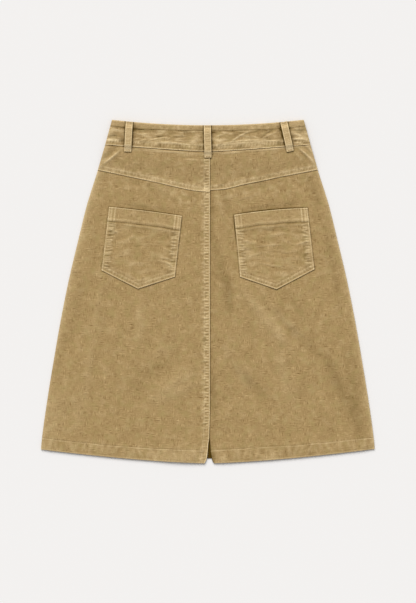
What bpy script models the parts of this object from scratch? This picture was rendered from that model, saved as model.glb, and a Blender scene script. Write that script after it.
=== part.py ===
"""A-line skirt of fine corduroy, laid flat on a surface with its back upwards.

X runs across the skirt, +Y from the hem to the waist and +Z up, all in metres. The front lies
underneath and is flat where it rests; the back lies on it. Every cut piece is a wall of its own,
with the thickness of its cloth, and the pieces stand a seam gap apart. Left is the wearer's left.
"""
import math
from collections import namedtuple

import bmesh
import bpy

# ---- cloth ----
CLOTH = 0.0014          # one layer of corduroy
BAND = 0.0026           # the waistband: cloth folded double
LOOP_CLOTH = 0.0020     # a belt loop: a narrow strip folded over
SEAM_GAP = 0.0003       # between any two pieces
INSIDE_GAP = 0.0008     # between the front and the back, inside the skirt

# ---- outline, seen from above ----
SidePoint = namedtuple("SidePoint", "y half_width")
SIDE_LINE = (
    SidePoint(-0.3018, 0.3202),     # corner of the hem
    SidePoint(-0.2846, 0.3187),
    SidePoint(-0.2078, 0.3081),
    SidePoint(-0.1310, 0.2956),
    SidePoint(-0.0542, 0.2822),
    SidePoint(0.0226, 0.2668),
    SidePoint(0.0994, 0.2486),
    SidePoint(0.1762, 0.2294),      # fullest part of the hip
    SidePoint(0.2146, 0.2167),
    SidePoint(0.2434, 0.2082),
    SidePoint(0.2818, 0.1970),      # end of the waist seam
    SidePoint(0.3298, 0.1838),      # corner of the waistband
)
HEM_CORNER_Y, HEM_HALF = SIDE_LINE[0]
LEFT_HEM_DROP = 0.0009  # the left corner of the hem hangs a little lower
WAIST_CORNER_Y, WAIST_HALF = SIDE_LINE[-1]
WAIST_SEAM_CORNER_Y, WAIST_SEAM_HALF = SIDE_LINE[-2]
TOP_MID_Y = 0.3192      # top edge of the waistband at the centre
TOP_POWER = 2.0         # how the top edge bends up to its corners
WAIST_SEAM_MID_Y = 0.2683
WAIST_SEAM_POWER = 1.2
BACK_HEM_MID_Y = -0.3294
FRONT_HEM_MID_Y = -0.3200
HEM_POWER = 1.5
CENTRE_BACK_X = 0.0042  # the back seam lies a little to the right
SEAM_DRIFT = 0.0016     # how far it comes back to the left
SEAM_DRIFT_Y = (-0.2150, -0.3000)   # between these heights
BAND_LAP_X = 0.0140     # end of the upper waistband end, past the centre front

YokePoint = namedtuple("YokePoint", "out left_y right_y")
YOKE_SEAM = (
    YokePoint(0.0000, 0.1908, 0.1942),
    YokePoint(0.0300, 0.1932, 0.1966),
    YokePoint(0.0620, 0.1996, 0.2045),
    YokePoint(0.0960, 0.2076, 0.2113),
    YokePoint(0.1340, 0.2157, 0.2194),
    YokePoint(0.1730, 0.2240, 0.2268),
    YokePoint(0.2130, 0.2324, 0.2348),
)

SlitPoint = namedtuple("SlitPoint", "above_hem half_width")
SLIT = (
    SlitPoint(0.0000, 0.0088),
    SlitPoint(0.0050, 0.0062),
    SlitPoint(0.0110, 0.0043),
    SlitPoint(0.0260, 0.0025),
    SlitPoint(0.0390, 0.0016),
    SlitPoint(0.0500, SEAM_GAP / 2),
)

PocketCorner = namedtuple("PocketCorner", "corner left_x left_y right_x right_y")
POCKET_CORNERS = (
    PocketCorner("inner_top", -0.0496, 0.1454, 0.0503, 0.1474),
    PocketCorner("outer_top", -0.1897, 0.1627, 0.1914, 0.1608),
    PocketCorner("outer_low", -0.2041, 0.0408, 0.2048, 0.0427),
    PocketCorner("tip", -0.1341, 0.0053, 0.1319, 0.0043),
    PocketCorner("inner_low", -0.0630, 0.0283, 0.0618, 0.0283),
)
POCKET_HEM = 0.027      # depth of the turned band along a pocket's mouth
MOUTH_RISE = {"left": 0.0012, "right": 0.0024}      # how far the middle of a mouth bows up

BackLoop = namedtuple("BackLoop", "side top_x low_x low_y")
BACK_LOOPS = (
    BackLoop("left", -0.1504, -0.1536, 0.2683),
    BackLoop("centre", -0.0010, 0.0004, 0.2568),
    BackLoop("right", 0.1454, 0.1580, 0.2689),
)
LOOP_WIDTH = 0.0137
LOOP_CLEAR = 0.0046     # room for a belt under a back loop
LOOP_END = 0.0045       # length of each stitched end, which lies on the cloth
LOOP_RISE = 0.0085      # length over which a loop leaves the cloth
FRONT_LOOP_X = 0.105
FRONT_LOOP_BELOW_SEAM = 0.011
UNDER_BAND = 0.0025     # thickness of what lies under the front waistband

BUTTON_RADIUS = 0.0085
BUTTON_SEGMENTS = 28

# ---- heights ----
WAIST_RISE = UNDER_BAND + SEAM_GAP      # the front waistband lies on its loops and its button
RISE_FULL = 0.014       # below the waist seam the panels are still at full rise
RISE_END = 0.064        # and here they lie on the surface
SIDE_ROUND = 0.0055     # width of the rounded fold along each side
CURL_STEPS = 4
EDGE_ROLL = 0.0008      # width over which a cut or turned edge rounds off
EDGE_DROP = 0.0005

SEAM_BAND_HEIGHT = 0.0005
CENTRE_BAND = 0.0132    # raised band of seam allowance left of the back seam
YOKE_BAND = 0.0115      # raised band above the yoke seam
HEM_BAND = 0.0230       # turned hem
BAND_SLOPE = 0.0016     # width of the slope at a raised band's edge
TOP_CREASE = 0.0100     # the stitched crease of the waistband, below its top edge
CREASE_WIDTH = 0.0010
CREASE_DEPTH = 0.0005

Fold = namedtuple("Fold", "x0 y0 x1 y1 half_width height")
FOLDS = (
    Fold(0.0687, 0.0150, 0.1367, -0.0754, 0.018, 0.0014),       # from the right pocket down
    Fold(0.1367, -0.0754, 0.1770, -0.1637, 0.020, 0.0014),
    Fold(0.2058, -0.0330, 0.2396, -0.0888, 0.014, 0.0010),      # along the right side
    Fold(0.0618, -0.2117, 0.0963, -0.2520, 0.014, 0.0009),
    Fold(0.0099, 0.1032, 0.0407, -0.0638, 0.014, -0.0004),      # hollow right of the seam
    Fold(0.0272, -0.0950, 0.0272, -0.1100, 0.014, 0.0008),
    Fold(-0.1300, -0.0160, -0.1300, -0.0830, 0.014, 0.0009),    # under the left pocket
    Fold(-0.0688, -0.1848, -0.0342, -0.1118, 0.018, 0.0011),
    Fold(-0.2800, -0.2078, -0.2397, -0.1118, 0.018, 0.0013),    # along the left side
    Fold(-0.1686, 0.2722, -0.1970, 0.2490, 0.0060, 0.0014),     # drag line at the left hip
    Fold(0.1655, 0.2740, 0.1847, 0.2645, 0.0060, 0.0009),       # drag line at the right hip
    Fold(0.1847, 0.2645, 0.1990, 0.2510, 0.0060, 0.0012),
)

# ---- finishes ----
Finish = namedtuple("Finish", "colour roughness metallic")
CORDUROY = Finish((0.397, 0.270, 0.117, 1.0), 0.92, 0.0)
BRASS = Finish((0.420, 0.290, 0.130, 1.0), 0.42, 1.0)


# ---- small helpers ----
def smooth(share):
    """An even start and stop between 0 and 1."""
    held = min(max(share, 0.0), 1.0)
    return held * held * (3.0 - 2.0 * held)


def mix(low, high, share):
    return low + (high - low) * share


def read(places, values, at):
    """The value at one place of a table, on a smooth curve through its rows."""
    last = len(places) - 2
    row = 0
    while row < last and at > places[row + 1]:
        row += 1
    slopes = [
        (values[i + 1] - values[i]) / (places[i + 1] - places[i]) for i in range(last + 1)
    ]
    step = places[row + 1] - places[row]
    start = slopes[row] if row == 0 else 0.5 * (slopes[row - 1] + slopes[row])
    end = slopes[row] if row == last else 0.5 * (slopes[row] + slopes[row + 1])
    share = min(max((at - places[row]) / step, 0.0), 1.0)
    square, cube = share * share, share * share * share
    return (
        (2 * cube - 3 * square + 1) * values[row]
        + (cube - 2 * square + share) * step * start
        + (3 * square - 2 * cube) * values[row + 1]
        + (cube - square) * step * end
    )


def distances(length, near, count, far):
    """Distances along a length: set ones at both ends and even ones between."""
    first, last = near[-1], length - far[0]
    between = [mix(first, last, i / count) for i in range(1, count)]
    return list(near) + between + [length - end for end in far]


# ---- edges and seams, seen from above ----
def side(y):
    return read([p.y for p in SIDE_LINE], [p.half_width for p in SIDE_LINE], y)


def top_edge(x):
    return mix(TOP_MID_Y, WAIST_CORNER_Y, (abs(x) / WAIST_HALF) ** TOP_POWER)


def waist_seam(x):
    bend = (abs(x) / WAIST_SEAM_HALF) ** WAIST_SEAM_POWER
    return mix(WAIST_SEAM_MID_Y, WAIST_SEAM_CORNER_Y, bend)


def yoke_seam(x):
    heights = [p.left_y if x < CENTRE_BACK_X else p.right_y for p in YOKE_SEAM]
    return read([p.out for p in YOKE_SEAM], heights, abs(x - CENTRE_BACK_X))


def hem(x, middle_y):
    corner_y = HEM_CORNER_Y - (LEFT_HEM_DROP if x < 0 else 0.0)
    return mix(middle_y, corner_y, (abs(x) / HEM_HALF) ** HEM_POWER)


def centre_back(y):
    """Where the back seam lies at a height: straight, then drifting a little towards the slit."""
    start, end = SEAM_DRIFT_Y
    return CENTRE_BACK_X - SEAM_DRIFT * smooth((start - y) / (start - end))


def back_hem(x):
    return hem(x, BACK_HEM_MID_Y)


def front_hem(x):
    return hem(x, FRONT_HEM_MID_Y)


def slit_half(y):
    """Half the width of the gap along the back seam, which opens into the slit at the hem."""
    above = y - BACK_HEM_MID_Y
    if above > SLIT[-1].above_hem:
        return SEAM_GAP / 2
    return max(read([p.above_hem for p in SLIT], [p.half_width for p in SLIT], above), SEAM_GAP / 2)


# ---- heights of the two layers ----
def rise(x, y):
    """0 where the skirt lies on the surface, 1 at the waist, which rests on loops and button."""
    below = waist_seam(x) - y
    return smooth((RISE_END - below) / (RISE_END - RISE_FULL))


def folds(x, y):
    """Height of the soft folds of the back, which die out towards the sides."""
    total = 0.0
    for fold in FOLDS:
        run_x, run_y = fold.x1 - fold.x0, fold.y1 - fold.y0
        square = run_x * run_x + run_y * run_y
        share = ((x - fold.x0) * run_x + (y - fold.y0) * run_y) / square
        held = min(max(share, 0.0), 1.0)
        away = math.hypot(x - fold.x0 - held * run_x, y - fold.y0 - held * run_y)
        total += fold.height * math.exp(-((away / fold.half_width) ** 2))
    return total * smooth((side(y) - abs(x) - SIDE_ROUND) / (2 * SIDE_ROUND))


def front_low(x, y):
    return WAIST_RISE * rise(x, y)


def front_high(x, y):
    return front_low(x, y) + CLOTH


def back_low(x, y):
    at_rest = CLOTH + INSIDE_GAP
    at_waist = WAIST_RISE + BAND + SEAM_GAP
    return mix(at_rest, at_waist, rise(x, y)) + folds(x, y)


def raised(inside):
    """Share of a raised band's height at a distance inside its edge."""
    return smooth(inside / BAND_SLOPE + 0.5)


def back_high(x, y):
    """Upper face of the back, with the bands that its turned allowances raise."""
    from_seam = centre_back(y) - x
    centre = raised(CENTRE_BAND - from_seam) if from_seam > 0 else 0.0
    over_yoke = y - yoke_seam(x)
    yoke = raised(YOKE_BAND - over_yoke) if over_yoke > 0 else 0.0
    turned_hem = raised(HEM_BAND - (y - back_hem(x)))
    return back_low(x, y) + CLOTH + SEAM_BAND_HEIGHT * max(centre, yoke, turned_hem)


def band_front_low(x, y):
    return WAIST_RISE


def band_front_high(x, y):
    return WAIST_RISE + BAND


def band_back_low(x, y):
    return band_front_high(x, y) + SEAM_GAP


def band_back_high(x, y):
    """Upper face of the waistband, with the stitched crease under its top edge."""
    from_crease = (top_edge(x) - y - TOP_CREASE) / CREASE_WIDTH
    return band_back_low(x, y) + BAND - CREASE_DEPTH * math.exp(-from_crease * from_crease)


def side_middle(x, y):
    """Height of the side seam, halfway between the lowest and the highest face."""
    if y > waist_seam(x):
        return (band_front_low(x, y) + band_back_high(x, y)) / 2
    return (front_low(x, y) + back_low(x, y) + CLOTH) / 2


# ---- building ----
def finish_material(name, finish):
    material = bpy.data.materials.new(name)
    material.use_nodes = True
    shader = material.node_tree.nodes["Principled BSDF"]
    shader.inputs["Base Color"].default_value = finish.colour
    shader.inputs["Roughness"].default_value = finish.roughness
    shader.inputs["Metallic"].default_value = finish.metallic
    return material


def wall(name, high, low, finish):
    """A closed wall between an upper and a lower grid of points, as an object of its own."""
    rows, columns = len(high), len(high[0])
    mesh = bmesh.new()
    up = [[mesh.verts.new(point) for point in row] for row in high]
    down = [[mesh.verts.new(point) for point in row] for row in low]
    for j in range(rows - 1):
        for i in range(columns - 1):
            mesh.faces.new((up[j][i], up[j][i + 1], up[j + 1][i + 1], up[j + 1][i]))
            mesh.faces.new((down[j][i], down[j + 1][i], down[j + 1][i + 1], down[j][i + 1]))
    for j in range(rows - 1):
        for i in (0, columns - 1):
            mesh.faces.new((up[j][i], up[j + 1][i], down[j + 1][i], down[j][i]))
    for i in range(columns - 1):
        for j in (0, rows - 1):
            mesh.faces.new((up[j][i], up[j][i + 1], down[j][i + 1], down[j][i]))
    bmesh.ops.triangulate(mesh, faces=mesh.faces[:])
    bmesh.ops.recalc_face_normals(mesh, faces=mesh.faces[:])
    return place(name, mesh, finish)


def place(name, mesh, finish):
    data = bpy.data.meshes.new(name)
    mesh.to_mesh(data)
    mesh.free()
    piece = bpy.data.objects.new(name, data)
    bpy.context.scene.collection.objects.link(piece)
    piece.data.materials.append(finish_material(name, finish))
    piece.data.shade_smooth()
    piece.data.set_sharp_from_angle(angle=math.radians(40))
    return piece


def settle(edge, low_edge, high_edge, row, row_rule):
    """The point where one row of a panel meets an edge that is given as x for each y."""
    y = mix(low_edge(edge(0.0)), high_edge(edge(0.0)), 0.5)
    for _ in range(12):
        x = edge(y)
        y = low_edge(x) + distances(high_edge(x) - low_edge(x), *row_rule)[row]
    return x, y


def lay_out(outer_edge, inner_edge, low_edge, high_edge, column_rule, row_rule):
    """Plan points of a panel, row by row from its low edge, column by column from outside."""
    count = len(distances(1.0, *row_rule))
    plan = []
    for row in range(count):
        outer_x, _ = settle(outer_edge, low_edge, high_edge, row, row_rule)
        inner_x, _ = settle(inner_edge, low_edge, high_edge, row, row_rule)
        way = 1.0 if inner_x > outer_x else -1.0
        points = []
        for out in distances(abs(inner_x - outer_x), *column_rule):
            x = outer_x + way * out
            span = high_edge(x) - low_edge(x)
            points.append((x, low_edge(x) + distances(span, *row_rule)[row]))
        plan.append(points)
    return plan


def curl(width, thickness):
    """Distances from the side edge of the rounded fold's outer and inner points."""
    turns = [math.radians(90) * i / CURL_STEPS for i in range(CURL_STEPS + 1)]
    outer = tuple(width * (1 - math.cos(turn)) for turn in turns)
    inner = tuple(thickness + (width - thickness) * (1 - math.cos(turn)) for turn in turns)
    return outer, inner


def curled(plan, height, middle):
    """Lift a plan to a height, rounding its first columns down to the side seam."""
    lifted = []
    for row in plan:
        points = []
        for i, (x, y) in enumerate(row):
            share = math.sin(math.radians(90) * min(i / CURL_STEPS, 1.0))
            points.append((x, y, mix(middle(x, y), height(x, y), share)))
        lifted.append(points)
    return lifted


def roll_off(high, low, row):
    """Round the wall's upper face down along one of its edge rows."""
    for i, (x, y, z) in enumerate(high[row]):
        drop = min(EDGE_DROP, (z - low[row][i][2]) * 0.4)
        high[row][i] = (x, y, z - drop)


def panel(name, edges, rules, heights, thickness, seam_side, rolled):
    """One panel that runs from a side seam to another edge."""
    outer_edge, inner_edge, low_edge, high_edge = edges
    near, count, far, row_rule = rules
    high_z, low_z = heights
    shift = seam_side * SEAM_GAP / 2

    def middle(x, y):
        return side_middle(x, y) + shift

    outside, inside = curl(SIDE_ROUND, thickness)
    grids = []
    for start in (outside, inside):
        column_rule = (start + near, count, far)
        grids.append(lay_out(outer_edge, inner_edge, low_edge, high_edge, column_rule, row_rule))
    faces_up = seam_side > 0
    high = curled(grids[0] if faces_up else grids[1], high_z, middle)
    low = curled(grids[1] if faces_up else grids[0], low_z, middle)
    for row in rolled:
        roll_off(high, low, row)
    return wall(name, high, low, CORDUROY)


def side_edge(sign):
    return lambda y: sign * side(y)


def upright(x):
    return lambda y: x


def shifted(edge, by):
    return lambda x: edge(x) + by


def back_seam(sign):
    return lambda y: centre_back(y) + sign * slit_half(y)


UNDER, OVER = -SEAM_GAP / 2, SEAM_GAP / 2
PANEL_NEAR, PANEL_COLUMNS = (0.014,), 12
PANEL_ROWS = ((0.0, EDGE_ROLL, 0.005, 0.011, 0.0222, 0.0245, 0.037, 0.049), 19, (0.012, 0.0))
CENTRE_COLUMNS = (CENTRE_BAND + 0.0016, CENTRE_BAND - 0.0004, 0.004, 0.0)
HIP_NEAR, YOKE_COLUMNS = (0.011, 0.016, 0.021, 0.026, 0.031, 0.037, 0.045), 10
YOKE_ROWS = ((0.0, YOKE_BAND - 0.0008, YOKE_BAND + 0.0012), 7, (0.006, 0.0))
FRONT_COLUMNS, BAND_COLUMNS = 7, 11
FRONT_ROWS = ((0.0, EDGE_ROLL, HEM_BAND), 15, (0.020, 0.0))
CREASE_ROWS = (TOP_CREASE + 2 * CREASE_WIDTH, TOP_CREASE, TOP_CREASE - 2 * CREASE_WIDTH)
BAND_ROWS = ((0.0, 0.004), 3, CREASE_ROWS + (EDGE_ROLL, 0.0))
TOP_ROW = len(distances(1.0, *BAND_ROWS)) - 1
POCKET_EDGE = 0.007     # shares of a pocket's width and depth
POCKET_COLUMNS = distances(1.0, (0.0, POCKET_EDGE, 0.08), 10, (0.08, POCKET_EDGE, 0.0))


def build_back():
    for side_name, sign in (("left", -1), ("right", 1)):
        outer_edge, inner_edge = side_edge(sign), back_seam(sign)
        panel(
            f"back_{side_name}",
            (outer_edge, inner_edge, back_hem, shifted(yoke_seam, UNDER)),
            (PANEL_NEAR, PANEL_COLUMNS, CENTRE_COLUMNS, PANEL_ROWS),
            (back_high, back_low), CLOTH, 1, (0,),
        )
        panel(
            f"yoke_{side_name}",
            (outer_edge, inner_edge, shifted(yoke_seam, OVER), shifted(waist_seam, UNDER)),
            (HIP_NEAR, YOKE_COLUMNS, CENTRE_COLUMNS, YOKE_ROWS),
            (back_high, back_low), CLOTH, 1, (),
        )


def build_front():
    for side_name, sign in (("left", -1), ("right", 1)):
        outer_edge = side_edge(sign)
        centre = upright(sign * SEAM_GAP / 2)
        lap = upright(BAND_LAP_X + sign * SEAM_GAP / 2)
        panel(
            f"front_{side_name}",
            (outer_edge, centre, front_hem, shifted(waist_seam, UNDER)),
            (PANEL_NEAR, FRONT_COLUMNS, (0.020, 0.0), FRONT_ROWS),
            (front_high, front_low), CLOTH, -1, (0,),
        )
        panel(
            f"waistband_front_{side_name}",
            (outer_edge, lap, shifted(waist_seam, OVER), top_edge),
            (PANEL_NEAR, BAND_COLUMNS, (0.010, 0.0), BAND_ROWS),
            (band_front_high, band_front_low), BAND, -1, (TOP_ROW,),
        )


def build_waistband_back():
    """One long piece from side seam to side seam, made as two mirrored runs of columns."""
    outside, inside = curl(SIDE_ROUND, BAND)
    grids = []
    for start, height in ((outside, band_back_high), (inside, band_back_low)):
        column_rule = (start + PANEL_NEAR, BAND_COLUMNS, (0.008, 0.0))
        halves = []
        for sign in (-1, 1):
            plan = lay_out(
                side_edge(sign), upright(0.0), shifted(waist_seam, OVER), top_edge,
                column_rule, BAND_ROWS,
            )
            halves.append(curled(plan, height, lambda x, y: side_middle(x, y) + SEAM_GAP / 2))
        grids.append([left + right[-2::-1] for left, right in zip(*halves)])
    high, low = grids
    roll_off(high, low, TOP_ROW)
    wall("waistband_back", high, low, CORDUROY)


def pocket_point(corners, rise, across, down):
    """A plan point of a pocket, by its share across from the inner side and down from the mouth."""
    if across < 0.5:
        foot_start, foot_end, share = corners["inner_low"], corners["tip"], across * 2
    else:
        foot_start, foot_end, share = corners["tip"], corners["outer_low"], across * 2 - 1
    point = []
    for axis in (0, 1):
        top = mix(corners["inner_top"][axis], corners["outer_top"][axis], across)
        foot = mix(foot_start[axis], foot_end[axis], share)
        point.append(mix(top, foot, down))
    point[1] += rise * 4 * across * (1 - across) * (1 - down)
    return point


def build_pockets():
    """Two patch pockets with pointed feet, each laid on its back panel."""
    for side_name in ("left", "right"):
        corners = {
            row.corner: (getattr(row, f"{side_name}_x"), getattr(row, f"{side_name}_y"))
            for row in POCKET_CORNERS
        }
        turned_end = POCKET_HEM / (corners["inner_top"][1] - corners["inner_low"][1])
        near_mouth = (0.0, POCKET_EDGE, turned_end - POCKET_EDGE, turned_end + POCKET_EDGE)
        downs = distances(1.0, near_mouth, 7, (POCKET_EDGE, 0.0))
        high, low = [], []
        for down in downs:
            high_row, low_row = [], []
            for across in POCKET_COLUMNS:
                x, y = pocket_point(corners, MOUTH_RISE[side_name], across, down)
                z = back_high(x, y) + SEAM_GAP
                turned = SEAM_BAND_HEIGHT if down < turned_end else 0.0
                at_edge = down in (0.0, 1.0) or across in (0.0, 1.0)
                low_row.append((x, y, z))
                high_row.append((x, y, z + CLOTH + turned - (EDGE_DROP if at_edge else 0.0)))
            high.append(high_row)
            low.append(low_row)
        wall(f"pocket_{side_name}", high, low, CORDUROY)


def strip(name, top, foot, low_height, thickness, stops):
    """A narrow strip from a top point to a foot point, with its heights read along its length."""
    run_x, run_y = foot[0] - top[0], foot[1] - top[1]
    length = math.hypot(run_x, run_y)
    side_x, side_y = -run_y / length, run_x / length
    high, low = [], []
    for along in stops:
        share = along / length
        x, y = mix(top[0], foot[0], share), mix(top[1], foot[1], share)
        z = low_height(x, y, along, length)
        high_row, low_row = [], []
        for out, drop in ((-0.5, 1.0), (-0.42, 0.0), (0.42, 0.0), (0.5, 1.0)):
            place_x, place_y = x + side_x * out * LOOP_WIDTH, y + side_y * out * LOOP_WIDTH
            low_row.append((place_x, place_y, z))
            high_row.append((place_x, place_y, z + thickness - drop * EDGE_DROP))
        high.append(high_row)
        low.append(low_row)
    wall(name, high, low, CORDUROY)


def back_loop_height(x, y, along, length):
    """A back loop lies on the cloth at both ends and arches over a belt's room between them."""
    on_band = band_back_low(x, y) + BAND + SEAM_GAP
    arch = on_band + LOOP_CLEAR
    if along < length / 2:
        return mix(on_band, arch, smooth((along - LOOP_END) / LOOP_RISE))
    under = [back_high(x + out * LOOP_WIDTH, y) for out in (-0.5, -0.25, 0.0, 0.25, 0.5)]
    share = smooth((length - along - LOOP_END) / LOOP_RISE)
    return mix(max(under) + SEAM_GAP, arch, share)


def build_belt_loops():
    for loop in BACK_LOOPS:
        top = (loop.top_x, top_edge(loop.top_x) - SEAM_GAP)
        foot = (loop.low_x, loop.low_y)
        length = math.hypot(top[0] - foot[0], top[1] - foot[1])
        ends = [0.0, LOOP_END] + [LOOP_END + LOOP_RISE * i / 5 for i in range(1, 6)]
        stops = ends + [length / 2] + [length - end for end in reversed(ends)]
        strip(f"belt_loop_back_{loop.side}", top, foot, back_loop_height, LOOP_CLOTH, stops)
    for side_name, sign in (("left", -1), ("right", 1)):
        x = sign * FRONT_LOOP_X
        top = (x, top_edge(x) - SEAM_GAP)
        foot = (x, waist_seam(x) - FRONT_LOOP_BELOW_SEAM)
        length = top[1] - foot[1]
        stops = [length * i / 6 for i in range(7)]
        strip(f"belt_loop_front_{side_name}", top, foot, lambda *_: 0.0, UNDER_BAND, stops)


def build_button():
    """A round tack button under the lapped end of the front waistband, its face downwards."""
    profile = (
        (0.0, 0.0), (0.60, 0.0), (0.86, 0.0), (1.0, 0.16), (1.0, 0.60), (0.90, 0.80),
        (0.45, 0.86), (0.40, 1.0), (0.0, 1.0),
    )
    y = mix(waist_seam(0.0), top_edge(0.0), 0.5)
    mesh = bmesh.new()
    rings = []
    for out, up in profile:
        radius, z = out * BUTTON_RADIUS, up * UNDER_BAND
        if radius == 0.0:
            rings.append([mesh.verts.new((0.0, y, z))] * BUTTON_SEGMENTS)
            continue
        turns = [2 * math.pi * i / BUTTON_SEGMENTS for i in range(BUTTON_SEGMENTS)]
        rings.append([
            mesh.verts.new((radius * math.cos(turn), y + radius * math.sin(turn), z)) for turn in turns
        ])
    for inner, outer in zip(rings, rings[1:]):
        for i in range(BUTTON_SEGMENTS):
            after = (i + 1) % BUTTON_SEGMENTS
            corners = (inner[i], inner[after], outer[after], outer[i])
            mesh.faces.new(tuple(dict.fromkeys(corners)))
    bmesh.ops.recalc_face_normals(mesh, faces=mesh.faces[:])
    place("waist_button", mesh, BRASS)


for old in list(bpy.data.objects):
    bpy.data.objects.remove(old, do_unlink=True)
build_back()
build_front()
build_waistband_back()
build_pockets()
build_belt_loops()
build_button()
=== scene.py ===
# %% [markdown]
# # A corduroy skirt, laid flat
# The solids of the skirt are already packed as a frame: plain walls with the true outline of
# every cut piece. This notebook dresses each wall in a fine shell of corduroy, with the puckers,
# creases and faded edges that sewing and washing give it, and with painted highlight and painted
# shade where light and shade would fall on them. Every step first says what the piece is on the
# real skirt, and why it is made the way it is.

# %% Load the frame
import math
from collections import namedtuple
from types import SimpleNamespace

import bpy
import numpy as np
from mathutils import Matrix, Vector
from mathutils.bvhtree import BVHTree


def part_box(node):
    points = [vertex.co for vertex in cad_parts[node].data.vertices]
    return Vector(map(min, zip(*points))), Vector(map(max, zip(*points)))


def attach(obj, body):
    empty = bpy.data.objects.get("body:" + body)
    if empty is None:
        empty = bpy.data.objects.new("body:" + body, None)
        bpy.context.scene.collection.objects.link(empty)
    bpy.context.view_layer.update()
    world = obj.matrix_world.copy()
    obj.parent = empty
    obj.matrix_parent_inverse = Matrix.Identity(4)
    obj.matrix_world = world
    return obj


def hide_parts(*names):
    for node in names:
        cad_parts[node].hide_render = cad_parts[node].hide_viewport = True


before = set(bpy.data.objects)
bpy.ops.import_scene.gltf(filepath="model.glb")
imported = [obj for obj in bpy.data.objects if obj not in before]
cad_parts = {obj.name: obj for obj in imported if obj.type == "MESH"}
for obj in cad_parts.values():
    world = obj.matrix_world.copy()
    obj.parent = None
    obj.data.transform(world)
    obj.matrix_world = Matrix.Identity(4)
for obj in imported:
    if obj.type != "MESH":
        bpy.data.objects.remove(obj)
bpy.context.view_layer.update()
print("pieces in the frame:", len(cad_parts))

# %% [markdown]
# ## The table, the light and the camera
# The skirt lies on a pale surface and is seen from straight above through a long lens, so that
# its outline isn't bent by perspective. A wide, soft lamp shines from beyond the waist and a
# little from the left: each ridge then gets a light upper flank and a dark lower one, and the
# skirt hardly throws a shadow. A sun lamp with a large angle does this evenly all over the
# surface, and a pale sky fills in the rest.

# %% Camera straight above
VIEW_HEIGHT = 1.158         # height of the picture on the table, in metres
VIEW_CENTRE = (0.0003, -0.0187)
CAMERA_UP = 4.0
SENSOR = 24.0

camera_data = bpy.data.cameras.new("camera")
camera_data.sensor_fit = "VERTICAL"
camera_data.sensor_height = SENSOR
camera_data.lens = SENSOR * CAMERA_UP / VIEW_HEIGHT
camera = bpy.data.objects.new("camera", camera_data)
camera.location = (*VIEW_CENTRE, CAMERA_UP)
bpy.context.scene.collection.objects.link(camera)
bpy.context.scene.camera = camera
print("lens:", round(camera_data.lens, 1), "mm")

# %% A soft sun and a pale sky
SUN_TURN = math.radians(14)         # from the waist side towards the left
SUN_HEIGHT = math.radians(43)
SUN_STRENGTH = 2.78
SUN_WIDTH = math.radians(42)
SUN_COLOUR = (1.0, 0.99, 0.97)
SUN_AWAY = 3.0
SKY_COLOUR = (1.0, 1.0, 1.0, 1.0)
SKY_STRENGTH = 0.42

sun_data = bpy.data.lights.new("sun", "SUN")
sun_data.energy = SUN_STRENGTH
sun_data.angle = SUN_WIDTH
sun_data.color = SUN_COLOUR
sun = bpy.data.objects.new("sun", sun_data)
flat = math.cos(SUN_HEIGHT)
towards = Vector((-math.sin(SUN_TURN) * flat, math.cos(SUN_TURN) * flat, math.sin(SUN_HEIGHT)))
sun.rotation_euler = towards.to_track_quat("Z", "Y").to_euler()
sun.location = towards * SUN_AWAY
bpy.context.scene.collection.objects.link(sun)

world = bpy.data.worlds.new("sky")
world.use_nodes = True
background = world.node_tree.nodes["Background"]
background.inputs["Color"].default_value = SKY_COLOUR
background.inputs["Strength"].default_value = SKY_STRENGTH
bpy.context.scene.world = world
bpy.context.scene.view_settings.view_transform = "Standard"
print("sun at", round(math.degrees(SUN_HEIGHT)), "degrees, sky of", SKY_STRENGTH)

# %% The surface it lies on
FLOOR_HALF = 4.0
FLOOR_DROP = 0.0002         # the skirt's flat underside rests on it
FLOOR_COLOUR = (0.877, 0.866, 0.863, 1.0)

floor_mesh = bpy.data.meshes.new("floor")
corners = [(-1, -1), (1, -1), (1, 1), (-1, 1)]
floor_mesh.from_pydata(
    [(x * FLOOR_HALF, y * FLOOR_HALF, -FLOOR_DROP) for x, y in corners], [], [(0, 1, 2, 3)]
)
floor = bpy.data.objects.new("floor", floor_mesh)
bpy.context.scene.collection.objects.link(floor)
floor_material = bpy.data.materials.new("floor")
floor_material.use_nodes = True
floor_shader = floor_material.node_tree.nodes["Principled BSDF"]
floor_shader.inputs["Base Color"].default_value = FLOOR_COLOUR
floor_shader.inputs["Roughness"].default_value = 1.0
floor_shader.inputs["Specular IOR Level"].default_value = 0.0
floor_mesh.materials.append(floor_material)
print("floor:", 2 * FLOOR_HALF, "m square")

# %% [markdown]
# ## Corduroy
# Corduroy is a cut pile in fine ribs, called wales, that run along the cloth. From across a room
# the ribs melt into a soft nap: matt, a little sheeny at a glancing angle, and mottled where the
# pile lies differently. Washing fades what stands proud and leaves the hollows darker. The material
# reads the cloth's own coordinates, in metres along and across the wales, so the ribs follow each
# cut piece, and two painted layers that the shells carry point by point: a paler one for fading
# together with painted highlight on ridges and edges, and a darker one for the dye left in the
# hollows together with painted shade in grooves, under edges, beside pockets and loops and inside
# the slit.

# %% A short way to wire nodes
def node(tree, kind, **settings):
    made = tree.nodes.new(kind)
    for name, value in settings.items():
        setattr(made, name, value)
    return made


def wire(tree, value, socket):
    """Link an output to a socket, or set the socket to a plain value."""
    if isinstance(value, bpy.types.NodeSocket):
        tree.links.new(value, socket)
    else:
        socket.default_value = value


def maths(tree, operation, *values, clamp=False):
    made = node(tree, "ShaderNodeMath", operation=operation, use_clamp=clamp)
    for value, socket in zip(values, made.inputs):
        wire(tree, value, socket)
    return made.outputs[0]


def blend(tree, share, low, high):
    made = node(tree, "ShaderNodeMix", data_type="RGBA")
    for name, value in (("Factor", share), ("A", low), ("B", high)):
        socket = next(s for s in made.inputs if s.name == name and s.enabled)
        wire(tree, value, socket)
    return next(s for s in made.outputs if s.enabled)


print("node helpers ready")


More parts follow.
